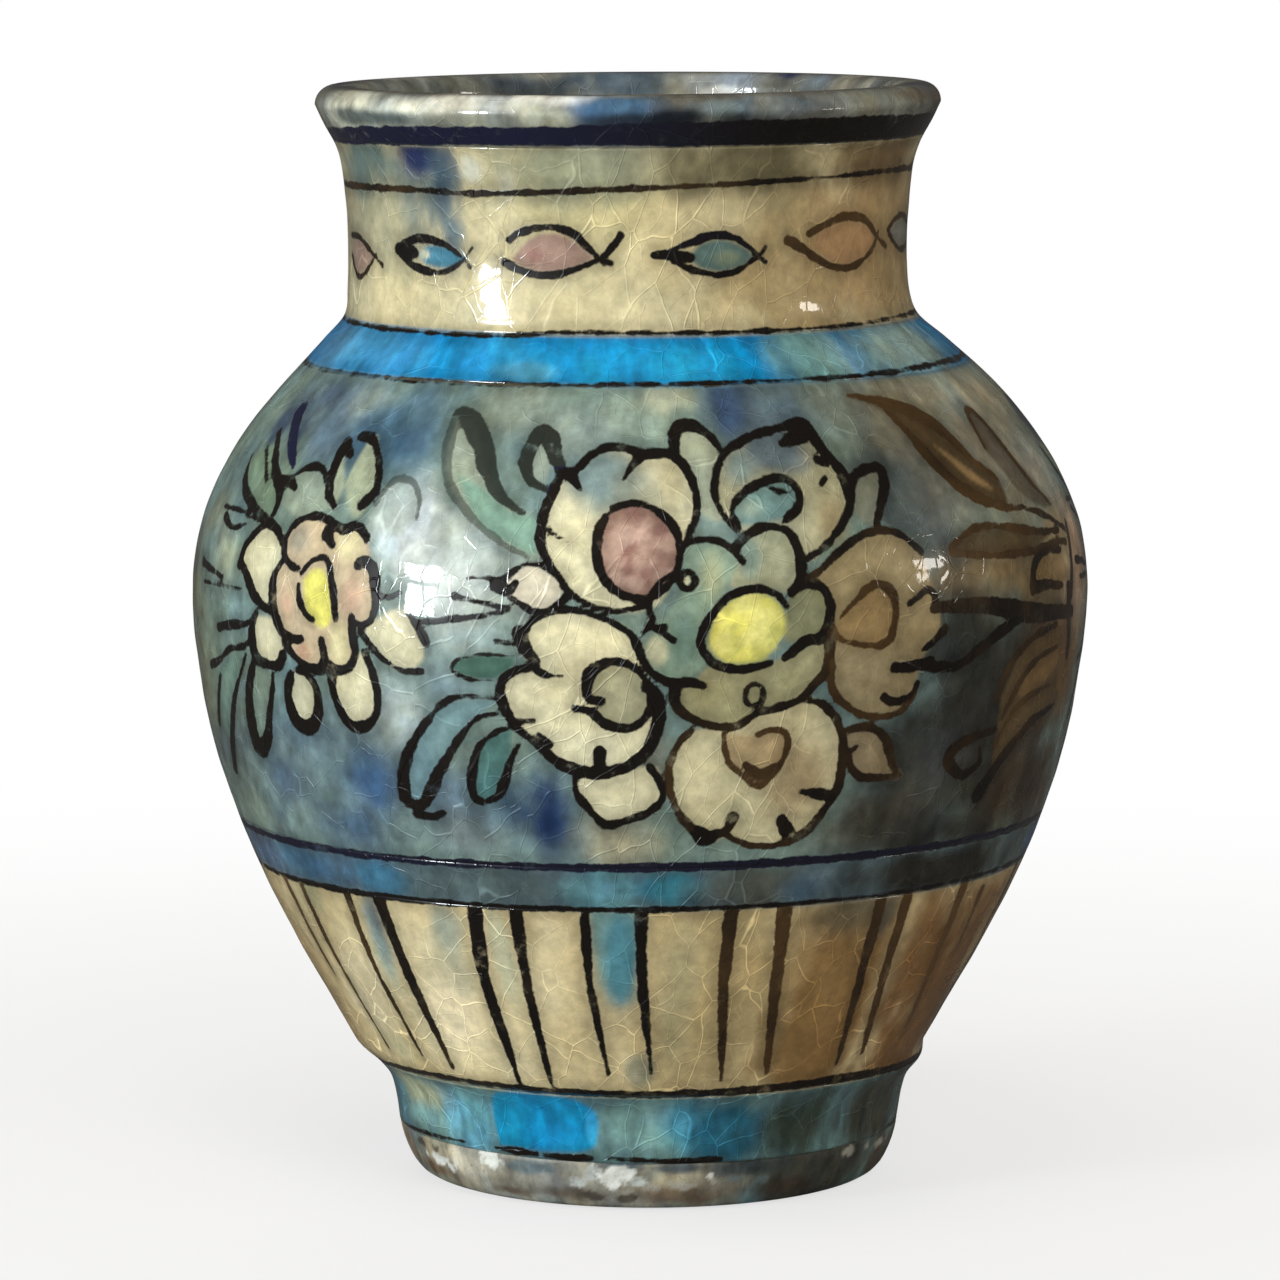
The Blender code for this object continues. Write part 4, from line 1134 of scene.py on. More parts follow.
def all_marks():
    """Everything painted on the pot, in the order it was laid down."""
    front = single_flower() + flower_leaves() + brown_spray() + bouquet()
    marks = belly_washes_and_painted_light() + neck_washes() + shoulder_washes() + wall_washes()
    marks.append(grain(0.62))
    marks += turned_marks(front, 150.0, sway=0.8)
    marks += turned_marks(single_flower() + flower_leaves(), 296.0, sway=1.1)
    marks += front + fish_band()
    marks.append(grain(0.3))
    return marks + stripes() + ring_lines()


def ground_colour(heights):
    """Ground of each painted zone, softly joined."""
    zones = [
        (0.0, (96, 128, 130)), (FOOT_LINE, BUFF), (WALL_LINE, (98, 118, 122)), (BELLY_LINE, GREY_GREEN),
        (BAND_LINE, TURQUOISE), (NECK_LINE, CREAM), (LIP_LINE, (96, 96, 90)),
    ]
    paint = np.tile(linear(zones[0][1]), (len(heights), 1))
    for level, colour in zones[1:]:
        share = smooth_step(heights, level - 0.6, level + 0.6)[:, None]
        paint = paint * (1 - share) + linear(colour) * share
    return paint


def cloud(degrees, heights, across, tall, seed):
    """Soft random field from 0 to 1 round the pot, with this many cells round it and cells this tall."""
    total = np.zeros(len(heights))
    weight = 0.0
    for octave in range(OCTAVES):
        cells = across * 2**octave
        u = (degrees % 360.0) / 360.0 * cells
        v = heights / tall * 2**octave
        rows = int(TOP_LEVEL / tall * 2**octave) + 3
        lattice = np.random.default_rng(seed + octave).random((rows, cells))
        i, j = u.astype(int) % cells, v.astype(int)
        a, b = smooth_step(u % 1.0, 0.0, 1.0), smooth_step(v % 1.0, 0.0, 1.0)
        after = (i + 1) % cells
        low = lattice[j, i] * (1 - a) + lattice[j, after] * a
        high = lattice[j + 1, i] * (1 - a) + lattice[j + 1, after] * a
        total += (low * (1 - b) + high * b) * OCTAVE_FADE**octave
        weight += OCTAVE_FADE**octave
    return total / weight


def zone_share(heights, level):
    """1 in the painted zone that holds a level, fading to 0 across its lines."""
    below = max([line for line in ZONE_LINES if line <= level], default=-50.0)
    above = min([line for line in ZONE_LINES if line > level], default=300.0)
    over = smooth_step(heights, below - 0.5, below + 0.7)
    return over * (1 - smooth_step(heights, above - 0.7, above + 0.5))


class Canvas:
    """Paint, ink distance and ink tone at each point of a coat."""

    def __init__(self, degrees, heights):
        self.degrees = degrees
        self.heights = heights
        inside_wall = np.clip(heights, OUTER_WALL[0][0], OUTER_WALL[-1][0])
        self.scale = np.radians(wall_radius(OUTER_WALL, inside_wall))
        self.paint = ground_colour(heights)
        self.blot = cloud(degrees, heights, *BLOT)
        self.streak = cloud(degrees, heights, *STREAK)
        self.crumbs = cloud(degrees, heights, *CRUMBS)
        self.ink = np.full(len(heights), NO_INK)
        self.tone = np.zeros(len(heights))

    def near(self, low, high, margin):
        """Points close to a box of degrees and heights, and their degrees counted from the box's middle."""
        middle = 0.5 * (low[0] + high[0])
        turn = (self.degrees - middle + 180.0) % 360.0 - 180.0
        reach = 0.5 * (high[0] - low[0]) + margin
        rows = (self.heights > low[1] - margin) & (self.heights < high[1] + margin)
        return np.nonzero(rows & (np.abs(turn) < min(reach, 181.0)))[0], turn, middle

    def distances(self, index, turn, path):
        """Distance in millimetres from points to a path, and how far along it the nearest place is."""
        u, v, scale = turn[index], self.heights[index], self.scale[index]
        best = np.full(len(index), 99.0)
        along = np.zeros(len(index))
        spans = np.hypot(np.diff(path[:, 0]) * DEGREE_LENGTH, np.diff(path[:, 1]))
        length = np.concatenate([[0.0], np.cumsum(spans)])
        for k in range(len(path) - 1):
            du, dv = (path[k + 1, 0] - path[k, 0]) * scale, path[k + 1, 1] - path[k, 1]
            pu, pv = (u - path[k, 0]) * scale, v - path[k, 1]
            t = np.clip((pu * du + pv * dv) / np.maximum(du * du + dv * dv, 1e-9), 0.0, 1.0)
            gap = np.hypot(pu - t * du, pv - t * dv)
            closer = gap < best
            best = np.where(closer, gap, best)
            along = np.where(closer, length[k] + t * spans[k], along)
        return best, along / max(length[-1], 1e-9)

    def brush(self, mark):
        wide = mark["path"][-1, 0] - mark["path"][0, 0] > 300.0
        index, turn, middle = self.near(mark["path"].min(axis=0), mark["path"].max(axis=0), 4.0)
        if len(index) == 0:
            return
        path = mark["path"] - [middle, 0.0]
        gap, along = self.distances(index, turn, path)
        if wide:
            for side in (-360.0, 360.0):
                other, share = self.distances(index, turn, path + [side, 0.0])
                along = np.where(other < gap, share, along)
                gap = np.minimum(other, gap)
        width, tone = np.atleast_1d(mark["width"]), np.atleast_1d(mark["tone"])
        half = 0.5 * np.interp(along, np.linspace(0, 1, len(width)), width)
        inside = half - gap
        wins = inside > self.ink[index]
        self.ink[index] = np.where(wins, inside, self.ink[index])
        tones = np.interp(along, np.linspace(0, 1, len(tone)), tone)
        self.tone[index] = np.where(wins, tones, self.tone[index])

    def lay(self, index, share, colour):
        share = share[:, None]
        self.paint[index] = self.paint[index] * (1 - share) + linear(colour) * share

    def granulate(self, mark):
        """Uneven pigment: streaks down the wall, fine blots, and warmer and cooler patches."""
        fine = cloud(self.degrees, self.heights, *FINE_GRAIN)
        streaks = cloud(self.degrees, self.heights, *RUNS)
        uneven = (fine - 0.5) + 0.7 * (streaks - 0.5)
        calm = zone_share(self.heights, NECK_LINE + 5.0) + zone_share(self.heights, WALL_LINE - 5.0)
        strength = mark["strength"] * (1.0 - CALM_ZONES * calm)
        self.paint *= np.clip(1.0 + strength * uneven, *GRAIN_LIMITS)[:, None]
        warm = strength * (cloud(self.degrees, self.heights, *WARMTH) - 0.5)
        self.paint *= 1.0 + np.outer(warm, WARM_SHIFT)

    def flood(self, mark):
        index, turn, middle = self.near(mark["path"].min(axis=0), mark["path"].max(axis=0), 1.5)
        if len(index) == 0:
            return
        path = mark["path"] - [middle, 0.0]
        gap, _ = self.distances(index, turn, path)
        u, v = turn[index], self.heights[index]
        inside = np.zeros(len(index), bool)
        for (u0, v0), (u1, v1) in zip(path, path[1:]):
            crosses = (v0 > v) != (v1 > v)
            inside ^= crosses & (u < u0 + (v - v0) * (u1 - u0) / np.where(v1 == v0, 1e-9, v1 - v0))
        share = smooth_step(np.where(inside, gap, -gap), -0.5, 0.5) * mark["strength"]
        self.lay(index, share, mark["colour"])

    def wash(self, mark):
        centre, reach = np.array(mark["centre"], float), np.array(mark["reach"], float)
        index, turn, _ = self.near(centre - 1.3 * reach, centre + 1.3 * reach, 2.0)
        if len(index) == 0:
            return
        u, v = turn[index], self.heights[index]
        ragged = BLOT_PULL * (self.blot[index] - 0.5) + STREAK_PULL * (self.streak[index] - 0.5)
        if mark["crumbled"]:
            ragged = CRUMB_PULL * (self.crumbs[index] - 0.5)
        distance = WASH_REACH * np.hypot(u / reach[0], (v - centre[1]) / reach[1]) + ragged
        share = (1 - smooth_step(distance, 1 - mark["soft"], 1.0)) * mark["strength"]
        self.lay(index, share * zone_share(v, centre[1]), mark["colour"])


def paint_coat(piece, section, degrees, rows, marks):
    """Stores the painting on a coat's points: shown rows first, hidden rows plain."""
    count = len(degrees)
    canvas = Canvas(np.tile(degrees, len(section)), np.repeat(paint_levels(section), count))
    actions = {"stroke": canvas.brush, "fill": canvas.flood, "oval": canvas.wash, "grain": canvas.granulate}
    for mark in marks:
        actions[mark["kind"]](mark)
    hidden = (rows - len(section)) * count
    colours = np.ones((rows * count, 4), np.float32)
    colours[:, :3] = np.vstack([canvas.paint, np.tile(linear(BISCUIT), (hidden, 1))])
    piece.data.attributes.new("paint", "FLOAT_COLOR", "POINT").data.foreach_set("color", colours.ravel())
    for name, values, rest in (("ink", canvas.ink, NO_INK), ("tone", canvas.tone, 0.0)):
        column = np.concatenate([values, np.full(hidden, rest)]).astype(np.float32)
        piece.data.attributes.new(name, "FLOAT", "POINT").data.foreach_set("value", column)
    return canvas


# Materials

class Nodes:
    """Short way to add nodes to a material and join them."""

    def __init__(self, name):
        self.material = bpy.data.materials.new(name)
        self.material.use_nodes = True
        self.tree = self.material.node_tree
        self.surface = self.tree.nodes["Principled BSDF"]

    def add(self, kind, **settings):
        node = self.tree.nodes.new(kind)
        for key, value in settings.items():
            setattr(node, key, value)
        return node

    def link(self, source, target):
        if hasattr(source, "is_output"):
            self.tree.links.new(source, target)
        else:
            target.default_value = source

    def attribute(self, name, output):
        return self.add("ShaderNodeAttribute", attribute_name=name).outputs[output]

    def place(self):
        return self.add("ShaderNodeTexCoord").outputs["Object"]

    def height(self, where):
        node = self.add("ShaderNodeSeparateXYZ")
        self.link(where, node.inputs["Vector"])
        return node.outputs["Z"]

    def noise(self, where, scale, detail=3.0, rough=0.55, output="Fac"):
        node = self.add("ShaderNodeTexNoise")
        self.link(where, node.inputs["Vector"])
        node.inputs["Scale"].default_value = scale
        node.inputs["Detail"].default_value = detail
        node.inputs["Roughness"].default_value = rough
        return node.outputs[output]

    def spread(self, value, low, high, to_low=0.0, to_high=1.0):
        node = self.add("ShaderNodeMapRange", interpolation_type="SMOOTHSTEP")
        self.link(value, node.inputs["Value"])
        for key, number in (("From Min", low), ("From Max", high), ("To Min", to_low), ("To Max", to_high)):
            node.inputs[key].default_value = number
        return node.outputs["Result"]

    def math(self, operation, first, second=0.0):
        node = self.add("ShaderNodeMath", operation=operation)
        self.link(first, node.inputs[0])
        self.link(second, node.inputs[1])
        return node.outputs[0]

    def mix(self, share, first, second, blend="MIX"):
        node = self.add("ShaderNodeMix", data_type="RGBA", blend_type=blend)
        self.link(share, node.inputs["Factor"])
        for value, socket in ((first, node.inputs["A"]), (second, node.inputs["B"])):
            sockets = [s for s in node.inputs if s.name == socket.name and s.type == "RGBA"]
            self.link(value, sockets[0])
        return [s for s in node.outputs if s.type == "RGBA"][0]

    def warped(self, where, scale, amount):
        """Coordinates pushed about by noise, so that cell edges aren't straight."""
        shake = self.noise(where, scale, detail=2.0, output="Color")
        node = self.add("ShaderNodeVectorMath", operation="MULTIPLY_ADD")
        self.link(shake, node.inputs[0])
        node.inputs[1].default_value = (amount, amount, amount)
        self.link(where, node.inputs[2])
        return node.outputs["Vector"]

    def cracks(self, where, scale, width):
        """Lines of a crackle: 1 on a line, 0 inside its cells."""
        node = self.add("ShaderNodeTexVoronoi", feature="DISTANCE_TO_EDGE")
        self.link(where, node.inputs["Vector"])
        node.inputs["Scale"].default_value = scale
        return self.spread(node.outputs["Distance"], 0.0, width, 1.0, 0.0)

    def bump(self, height, distance, strength=1.0, under=None):
        node = self.add("ShaderNodeBump")
        node.inputs["Strength"].default_value = strength
        node.inputs["Distance"].default_value = distance
        self.link(height, node.inputs["Height"])
        if under is not None:
            self.link(under, node.inputs["Normal"])
        return node.outputs["Normal"]


def shade(colour):
    return (*linear(colour), 1.0)


def crackle(n, where):
    """Crackle of the glaze: thin patchy lines round taller than wide cells, with finer ones inside some."""
    stretch = n.add("ShaderNodeMapping", vector_type="TEXTURE")
    n.link(where, stretch.inputs["Vector"])
    stretch.inputs["Scale"].default_value = (1.0, 1.0, 1.7)
    stretch.inputs["Rotation"].default_value = (0.0, 0.35, 0.0)
    cells = stretch.outputs["Vector"]
    wide = n.cracks(n.warped(cells, 90.0, 0.004), 150.0, 0.026)
    thin = n.cracks(n.warped(cells, 150.0, 0.003), 265.0, 0.032)
    patch = n.spread(n.noise(where, 42.0, detail=2.0), 0.36, 0.6)
    strong = n.math("MULTIPLY", wide, n.math("ADD", n.math("MULTIPLY", patch, 0.75), 0.25))
    weak = n.math("MULTIPLY", thin, n.math("MULTIPLY", patch, 0.4))
    return n.math("MAXIMUM", strong, weak)


def ink_layer(n, where, mottle):
    """Brushed ink: how much it covers, and its colour from black to dilute brown or navy."""
    distance = n.attribute("ink", "Fac")
    tone = n.attribute("tone", "Fac")
    ragged = n.math("MULTIPLY", n.math("SUBTRACT", n.noise(where, 650.0, detail=4.0, rough=0.7), 0.5), 0.8)
    swell = n.math("MULTIPLY", n.math("SUBTRACT", n.noise(where, 230.0, detail=2.0), 0.55), 1.1)
    edge = n.math("ADD", distance, n.math("ADD", ragged, swell))
    covered = n.spread(edge, -0.15, 0.23)
    worn = n.spread(n.noise(where, 190.0, detail=6.0, rough=0.7), 0.56, 0.78, 1.0, 0.45)
    dilute = n.spread(tone, -1.0, -2.0, 1.0, 0.58)
    covered = n.math("MULTIPLY", n.math("MULTIPLY", covered, worn), dilute)
    thinned = n.math("ADD", tone, n.math("MULTIPLY", n.math("SUBTRACT", mottle, 0.46), 1.1))
    colour = n.mix(n.spread(thinned, 0.1, 0.9), shade(INK), shade(INK_BROWN))
    colour = n.mix(n.spread(tone, -0.05, -0.7), colour, shade(NAVY))
    colour = n.mix(n.spread(tone, -0.9, -1.05), colour, shade(INK_THIN))
    return covered, colour


def painted_glaze():
    """Glossy crackled glaze over the painting stored on the mesh."""
    n = Nodes("painted_glaze")
    where = n.place()
    mottle = n.noise(where, 75.0, detail=6.0, rough=0.62)
    fine = n.noise(where, 520.0, detail=4.0, rough=0.65)
    lines = crackle(n, where)
    paint = n.attribute("paint", "Color")
    paint = n.mix(1.0, paint, n.spread(mottle, 0.3, 0.7, 0.80, 1.14), "MULTIPLY")
    paint = n.mix(1.0, paint, n.spread(fine, 0.3, 0.7, 0.86, 1.10), "MULTIPLY")
    paint = n.mix(1.0, paint, n.spread(lines, 0.0, 1.0, 1.0, 1.42), "MULTIPLY")
    # Partly painted glint: on the lower wall, which faces down, the crackle lines are brightened further.
    lower = n.spread(n.height(where), BELLY_LINE * MM, WALL_LINE * MM)
    paint = n.mix(1.0, paint, n.spread(n.math("MULTIPLY", lines, lower), 0.0, 1.0, 1.0, 1.3), "MULTIPLY")
    paint = n.mix(1.0, paint, n.spread(n.attribute("ink", "Fac"), -2.6, -0.2, 1.0, 0.74), "MULTIPLY")
    covered, ink = ink_layer(n, where, mottle)
    n.link(n.mix(covered, paint, ink), n.surface.inputs["Base Color"])
    n.link(n.spread(mottle, 0.3, 0.7, 0.26, 0.42), n.surface.inputs["Roughness"])
    skin = n.bump(n.noise(where, 120.0, detail=3.0, rough=0.45), 0.0006, 0.28)
    gloss = n.bump(lines, 0.00012, 0.35, skin)
    skin = n.bump(covered, 0.00012, 0.4, n.bump(lines, 0.00026, 0.7, skin))
    n.link(skin, n.surface.inputs["Normal"])
    n.link(gloss, n.surface.inputs["Coat Normal"])
    n.surface.inputs["Specular IOR Level"].default_value = 0.25
    n.surface.inputs["Coat Weight"].default_value = 0.75
    n.surface.inputs["Coat Roughness"].default_value = 0.05
    return n.material


def inside_glaze():
    """Satin cream glaze inside the pot, mottled and finely crackled."""
    n = Nodes("inside_glaze")
    where = n.place()
    mottle = n.noise(where, 55.0, detail=6.0, rough=0.6)
    base = n.mix(n.spread(mottle, 0.3, 0.7), shade((168, 156, 120)), shade((196, 188, 156)))
    lines = n.cracks(n.warped(where, 110.0, 0.006), 140.0, 0.05)
    base = n.mix(n.math("MULTIPLY", lines, 0.5), base, shade((120, 104, 78)))
    n.link(base, n.surface.inputs["Base Color"])
    n.link(n.spread(mottle, 0.3, 0.7, 0.28, 0.5), n.surface.inputs["Roughness"])
    n.link(n.bump(lines, 0.0002, 0.4, n.bump(mottle, 0.0004, 0.3)), n.surface.inputs["Normal"])
    return n.material


def clay_surface(n, where, base):
    """Grit, stains and relief of unglazed earthenware over a base colour."""
    broad = n.noise(where, 60.0, detail=5.0, rough=0.65)
    grit = n.noise(where, 900.0, detail=3.0, rough=0.7)
    base = n.mix(1.0, base, n.spread(broad, 0.3, 0.7, 0.74, 1.16), "MULTIPLY")
    base = n.mix(n.spread(grit, 0.55, 0.75, 0.0, 0.55), base, shade((96, 78, 62)))
    n.link(base, n.surface.inputs["Base Color"])
    n.link(n.bump(grit, 0.0003, 0.6, n.bump(broad, 0.0008, 0.5)), n.surface.inputs["Normal"])
    return n.material


def bare_clay():
    """Clay of the thrown sections, seen only in the foot's recess."""
    n = Nodes("bare_clay")
    where = n.place()
    stain = n.spread(n.noise(where, 90.0, detail=4.0), 0.5, 0.7, 0.0, 0.5)
    n.surface.inputs["Roughness"].default_value = 0.8
    return clay_surface(n, where, n.mix(stain, shade(BISCUIT), shade((92, 80, 68))))


def foot_clay():
    """Clay of the standing foot, with the stains and chips stored on the mesh."""
    n = Nodes("foot_clay")
    n.surface.inputs["Roughness"].default_value = 0.55
    return clay_surface(n, n.place(), n.attribute("paint", "Color"))


# Pieces of the pot

def painted_bands(material, marks):
    """Outer coat as bands that meet on the painted lines."""
    dense = columns()
    bands = [
        ("glaze_foot", wall_section(BARE_EDGE, FOOT_LINE, 0.55), 3),
        ("glaze_lower_wall", wall_section(FOOT_LINE, WALL_LINE, 0.6), 3),
        ("glaze_narrow_band", wall_section(WALL_LINE, BELLY_LINE, 0.55), 3),
        ("glaze_belly", wall_section(BELLY_LINE, BAND_LINE, 0.65), 6),
        ("glaze_shoulder_band", wall_section(BAND_LINE, NECK_LINE, 0.5), 3),
        ("glaze_neck", wall_section(NECK_LINE, LIP_LINE, 0.5), 3),
        ("glaze_lip", lip_section(0.45), 3),
    ]
    for name, section, back_every in bands:
        piece = coat_mesh(name, section, dense, 1.0, material, back_every)
        rows = len(piece.data.vertices) // len(dense)
        paint_coat(piece, section, dense, rows, marks)
        own(piece, "outer_glaze")


def own(piece, node):
    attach(piece, "root")
    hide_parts(node)


def inside_coat(material):
    degrees = np.arange(-180.0, 180.0, INSIDE_TURN)
    section = inside_section(INSIDE_STEP)
    piece = coat_mesh("inside_coat", section, degrees, INSIDE_UNEVEN, material)
    close_floor(piece, section, degrees)
    own(piece, "inner_glaze")


def close_floor(piece, section, degrees):
    """Draws the rings at the floor's centre together into one point on each side."""
    shape = bmesh.new()
    shape.from_mesh(piece.data)
    shape.verts.ensure_lookup_table()
    count = len(degrees)
    first = (len(section) - 1) * count
    centre = [shape.verts[k] for k in range(first, first + 2 * count)]
    bmesh.ops.remove_doubles(shape, verts=centre, dist=0.2 * MM)
    shape.to_mesh(piece.data)
    shape.free()


# Chips in the foot, as centre and reach in degrees and millimetres
FOOT_CHIPS = [
    ((-12.5, 7.0), (1.7, 1.2)), ((-8.6, 5.9), (2.2, 1.3)), ((-5.6, 7.4), (2.2, 1.2)),
    ((-2.4, 5.8), (1.2, 0.8)), ((-38.0, 8.2), (2.4, 1.2)), ((-57.0, 5.4), (3.2, 1.1)),
    ((-17.0, 5.2), (1.2, 0.7)), ((14.0, 6.6), (0.7, 0.5)),
    ((96.0, 7.0), (3.2, 1.4)), ((158.0, 6.0), (2.6, 1.6)), ((221.0, 7.0), (3.0, 1.3)),
]


def foot_marks():
    """Stains, glaze smears and white chips on the bare foot."""
    ground = [
        ((-30, 5), (70, 12), (150, 147, 132), 1.0), ((-80, 5), (20, 10), (112, 96, 78), 0.9),
        ((44, 6), (30, 11), (62, 66, 60), 1.0), ((76, 5), (16, 8), (78, 68, 56), 0.9),
        ((200, 5), (100, 12), (134, 124, 106), 1.0), ((-47, 6.6), (11, 3.0), (200, 192, 168), 0.85),
        ((-62, 3.4), (12, 2.0), (104, 84, 62), 0.9), ((-28, 7.4), (8, 1.8), (96, 110, 112), 0.9),
        ((-22, 3), (12, 2.2), (96, 88, 76), 0.9), ((8, 3), (12, 2.2), (98, 84, 68), 0.9),
        ((-34, 2.2), (8, 1.4), (92, 72, 54), 0.8), ((18, 5), (8, 3), (116, 112, 100), 0.8),
        ((22, 8), (10, 2.2), (48, 60, 68), 0.9), ((6, 8.4), (7, 1.3), (46, 62, 76), 0.9),
        ((-6, 8.9), (6, 0.9), (64, 90, 106), 0.8), ((32, 3.4), (9, 2), (58, 52, 44), 0.9),
        ((120, 4), (20, 3), (92, 84, 74), 0.8), ((235, 4), (24, 3), (96, 86, 76), 0.8),
        ((180, 6), (12, 3), (108, 116, 114), 0.8), ((146, 7), (9, 2), (88, 74, 58), 0.8),
    ]
    marks = washes(ground, 0.7)
    marks.append(grain(1.3))
    for step, (centre, reach) in enumerate(FOOT_CHIPS):
        bright = (226, 228, 220) if step % 3 else (188, 194, 188)
        marks.append(oval(bright, 0.95, centre, (1.5 * reach[0], 1.3 * reach[1]), 0.35, crumbled=True))
    for step in range(46):
        place = (137.5 * step, 4.6 + 3.4 * math.sin(2.7 * step))
        speck = ((160, 158, 146), (62, 52, 42), (92, 108, 112))[step % 3]
        marks.append(oval(speck, 0.8, place, (2.4 + math.sin(step), 0.9), 0.5, crumbled=True))
    return marks


def foot_wear(section, degrees):
    """How far the foot's outer edge is worn or chipped back at each point, in millimetres."""
    turn = np.radians(degrees)[None, :]
    radius, height = section[:, 0][:, None], section[:, 1][:, None]
    edge = smooth_step(height, 0.4, 3.0) * (radius > FOOT_WORN) * (height < FOOT_WORN_TOP)
    wear = EDGE_WAVE * np.sin(turn * 5 + 1) * np.sin(turn * 11)
    wear = wear - EDGE_NICK * np.sin(turn * 23 + 2) ** 4
    for centre, reach in FOOT_CHIPS:
        away = (degrees[None, :] - centre[0] + 180.0) % 360.0 - 180.0
        distance = np.hypot(away / reach[0], (height - centre[1]) / reach[1])
        wear = wear - CHIP_DEPTH * (1 - smooth_step(distance, 0.55, 1.0))
    return edge * wear


def worn_foot(material):
    degrees = np.arange(-180.0, 180.0, FOOT_TURN)
    section = foot_section()
    whole = np.vstack([section, np.array(FOOT_TOP)])
    turn = np.radians(degrees)
    points = turned_points(whole, degrees, 0.0)
    wear = foot_wear(whole, degrees)
    points[:, :, 0] += wear * np.sin(turn) * MM
    points[:, :, 1] -= wear * np.cos(turn) * MM
    faces = ring_faces(len(whole), len(degrees), closed=True)
    piece = mesh_object("foot_worn", points.reshape(-1, 3), faces, material)
    lay_out(piece, len(section), len(whole), len(degrees))
    canvas = paint_coat(piece, section, degrees, len(whole), foot_marks())
    outside = np.repeat(section[:, 0] > FOOT_OUTSIDE, len(degrees))
    plain = np.append(linear(BISCUIT), 1.0)
    colours = np.tile(plain, (len(whole) * len(degrees), 1)).astype(np.float32)
    colours[:len(outside)][outside, :3] = canvas.paint[outside]
    piece.data.attributes["paint"].data.foreach_set("color", colours.ravel())
    own(piece, "foot_ring")


def clay_nodes(material):
    """CAD sections that stay: the bare clay shows only in the foot's recess."""
    for name in ("lower_body", "upper_body", "neck", "rim"):
        mesh = frame["nodes"][name].data
        mesh.materials.clear()
        mesh.materials.append(material)


# Studio and camera

FOCAL_PIXELS = 6500.0
PHOTO_PIXELS = 1280.0
SENSOR = 36.0
PITCH = math.radians(7.2)
DISTANCE = 1.196
AIM_HEIGHT = 0.0978

# Floor in metres, and how bright the room is for the pot's light and for its reflections
FLOOR_REACH = 6.0
FLOOR_LEVEL = -0.2 * MM
ROOM_LIGHT = 0.30
ROOM_MIRRORED = 0.06


def look_at(thing, place, target):
    direction = np.array(target) - np.array(place)
    thing.location = place
    yaw = math.atan2(direction[0], -direction[1])
    drop = math.atan2(direction[2], math.hypot(direction[0], direction[1]))
    thing.rotation_euler = (math.pi / 2 + drop, 0.0, math.pi + yaw)


def camera():
    data = bpy.data.cameras.new("camera")
    data.sensor_width = SENSOR
    data.lens = SENSOR * FOCAL_PIXELS / PHOTO_PIXELS
    eye = bpy.data.objects.new("camera", data)
    eye.location = (0.0, -DISTANCE * math.cos(PITCH), AIM_HEIGHT + DISTANCE * math.sin(PITCH))
    eye.rotation_euler = (math.pi / 2 - PITCH, 0.0, 0.0)
    bpy.context.scene.collection.objects.link(eye)
    bpy.context.scene.camera = eye


def lamp(name, place, target, size, power, colour, mirrored=True):
    """Area light; one that isn't mirrored lights the pot without a highlight of its own."""
    data = bpy.data.lights.new(name, "AREA")
    data.shape = "RECTANGLE"
    data.size, data.size_y = size
    data.energy = power
    data.color = colour
    light = bpy.data.objects.new(name, data)
    light.visible_glossy = mirrored
    look_at(light, place, target)
    bpy.context.scene.collection.objects.link(light)


def lights():
    """Window panes on the left, a small window on the right, and soft lights without highlights."""
    middle = (0.0, 0.0, 0.11)
    lamp("key_upper", (-1.25, -0.85, 0.48), middle, (0.30, 0.20), 10.0, (0.88, 0.95, 1.0))
    lamp("key_lower", (-1.25, -0.85, 0.20), middle, (0.22, 0.18), 7.0, (0.88, 0.95, 1.0))
    lamp("window_right", (1.58, -0.31, 0.46), middle, (0.24, 0.12), 1.5, (1.0, 0.94, 0.86))
    lamp("top", (-0.2, -0.5, 1.5), middle, (0.8, 0.8), 7.0, (1.0, 0.97, 0.92), mirrored=False)
    lamp("fill", (0.5, -1.3, 0.95), middle, (0.8, 0.6), 8.5, (1.0, 0.95, 0.88), mirrored=False)
    lamp("behind", (0.0, 1.6, 0.7), middle, (0.9, 0.6), 7.0, (1.0, 0.96, 0.9), mirrored=False)


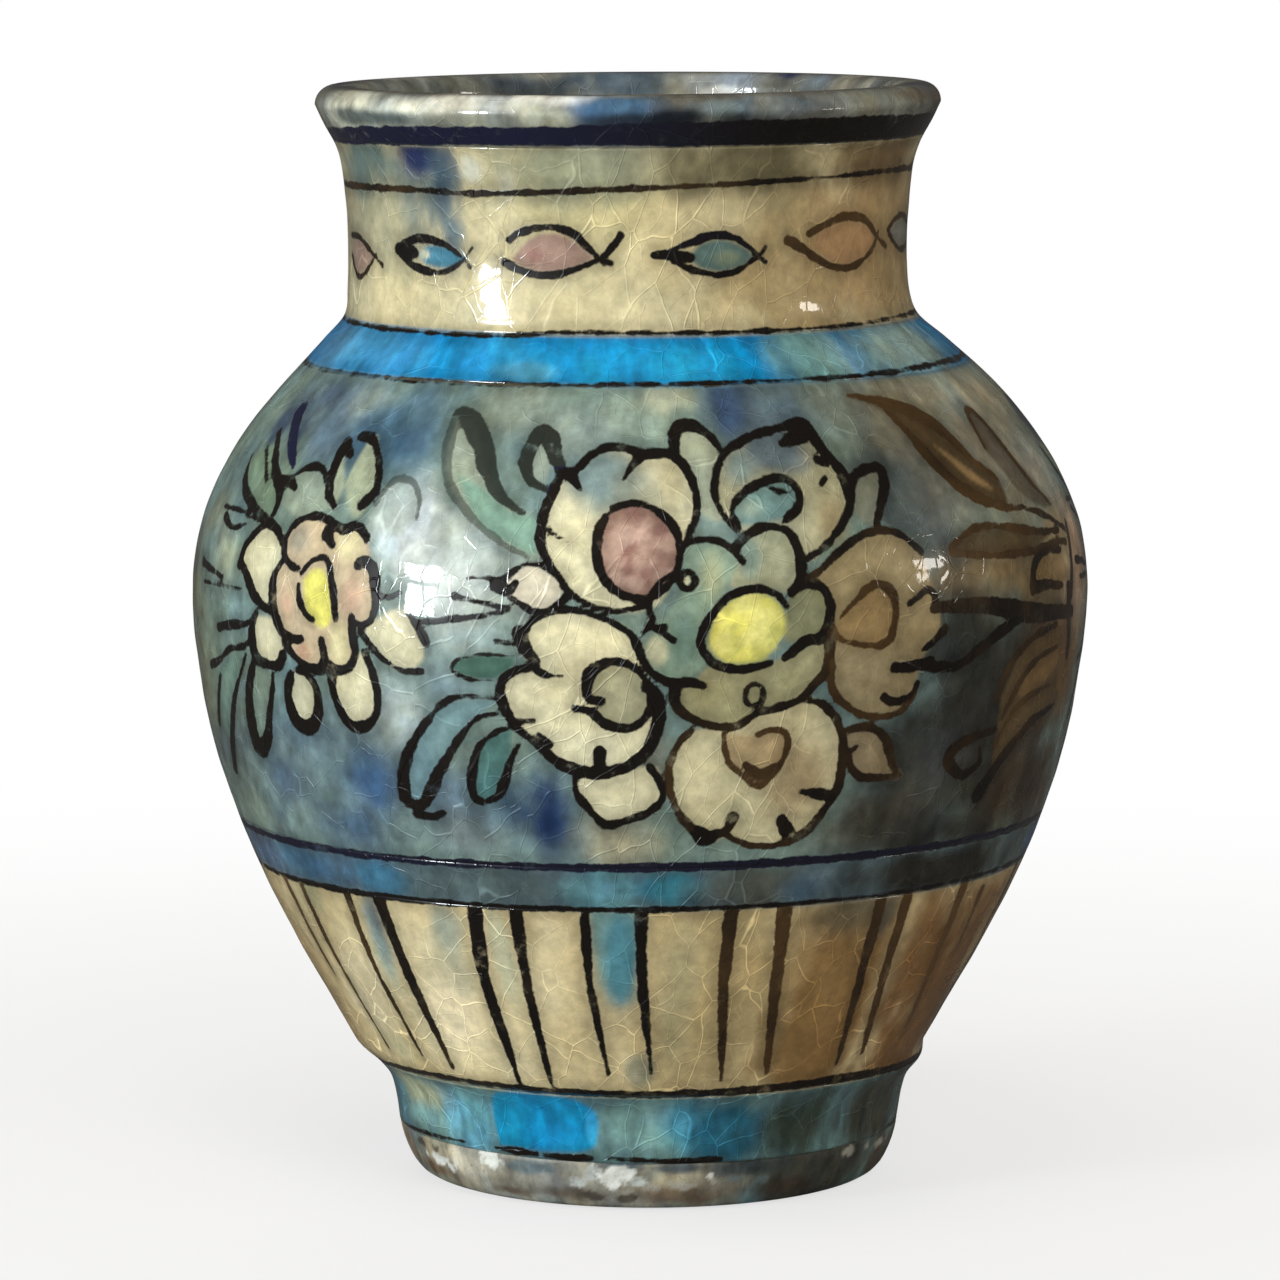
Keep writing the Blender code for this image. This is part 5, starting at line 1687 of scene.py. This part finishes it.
def world():
    """Dim warm room for the light on the pot, plain white behind it."""
    scene = bpy.context.scene
    scene.world = bpy.data.worlds.new("studio")
    scene.world.use_nodes = True
    tree = scene.world.node_tree
    room = tree.nodes["Background"]
    room.inputs["Color"].default_value = (0.95, 0.9, 0.82, 1.0)
    path = tree.nodes.new("ShaderNodeLightPath")
    dim = tree.nodes.new("ShaderNodeMapRange")
    dim.inputs["To Min"].default_value = ROOM_LIGHT
    dim.inputs["To Max"].default_value = ROOM_MIRRORED
    tree.links.new(path.outputs["Is Glossy Ray"], dim.inputs["Value"])
    tree.links.new(dim.outputs["Result"], room.inputs["Strength"])
    white = tree.nodes.new("ShaderNodeBackground")
    white.inputs["Color"].default_value = (1.0, 1.0, 1.0, 1.0)
    mix = tree.nodes.new("ShaderNodeMixShader")
    tree.links.new(path.outputs["Is Camera Ray"], mix.inputs["Fac"])
    tree.links.new(room.outputs[0], mix.inputs[1])
    tree.links.new(white.outputs[0], mix.inputs[2])
    tree.links.new(mix.outputs[0], tree.nodes["World Output"].inputs["Surface"])


def floor():
    """Pale floor that keeps the pot's shadow and turns white away from it."""
    n = Nodes("floor")
    n.surface.inputs["Base Color"].default_value = (0.7, 0.7, 0.7, 1.0)
    n.surface.inputs["Roughness"].default_value = 0.9
    n.surface.inputs["Specular IOR Level"].default_value = 0.0
    glow = n.add("ShaderNodeEmission")
    glow.inputs["Color"].default_value = (1.0, 1.0, 1.0, 1.0)
    path = n.add("ShaderNodeLightPath")
    reach = n.add("ShaderNodeVectorMath", operation="LENGTH")
    n.link(n.place(), reach.inputs[0])
    plain = n.spread(reach.outputs["Value"], 0.05, 0.5, 0.7, 1.0)
    mix = n.add("ShaderNodeMixShader")
    n.link(n.math("MULTIPLY", path.outputs["Is Camera Ray"], plain), mix.inputs["Fac"])
    n.link(n.surface.outputs[0], mix.inputs[1])
    n.link(glow.outputs[0], mix.inputs[2])
    n.link(mix.outputs[0], n.tree.nodes["Material Output"].inputs["Surface"])
    corners = [(-1, -1), (1, -1), (1, 1), (-1, 1)]
    points = np.array([(x * FLOOR_REACH, y * FLOOR_REACH, FLOOR_LEVEL) for x, y in corners])
    ground = mesh_object("floor", points, np.array([[0, 1, 2, 3]]), n.material)
    ground.visible_glossy = False


def build():
    painted_bands(painted_glaze(), all_marks())
    clay = bare_clay()
    inside_coat(inside_glaze())
    worn_foot(foot_clay())
    clay_nodes(clay)
    camera()
    lights()
    world()
    floor()
    bpy.context.scene.view_settings.view_transform = "Standard"


build()
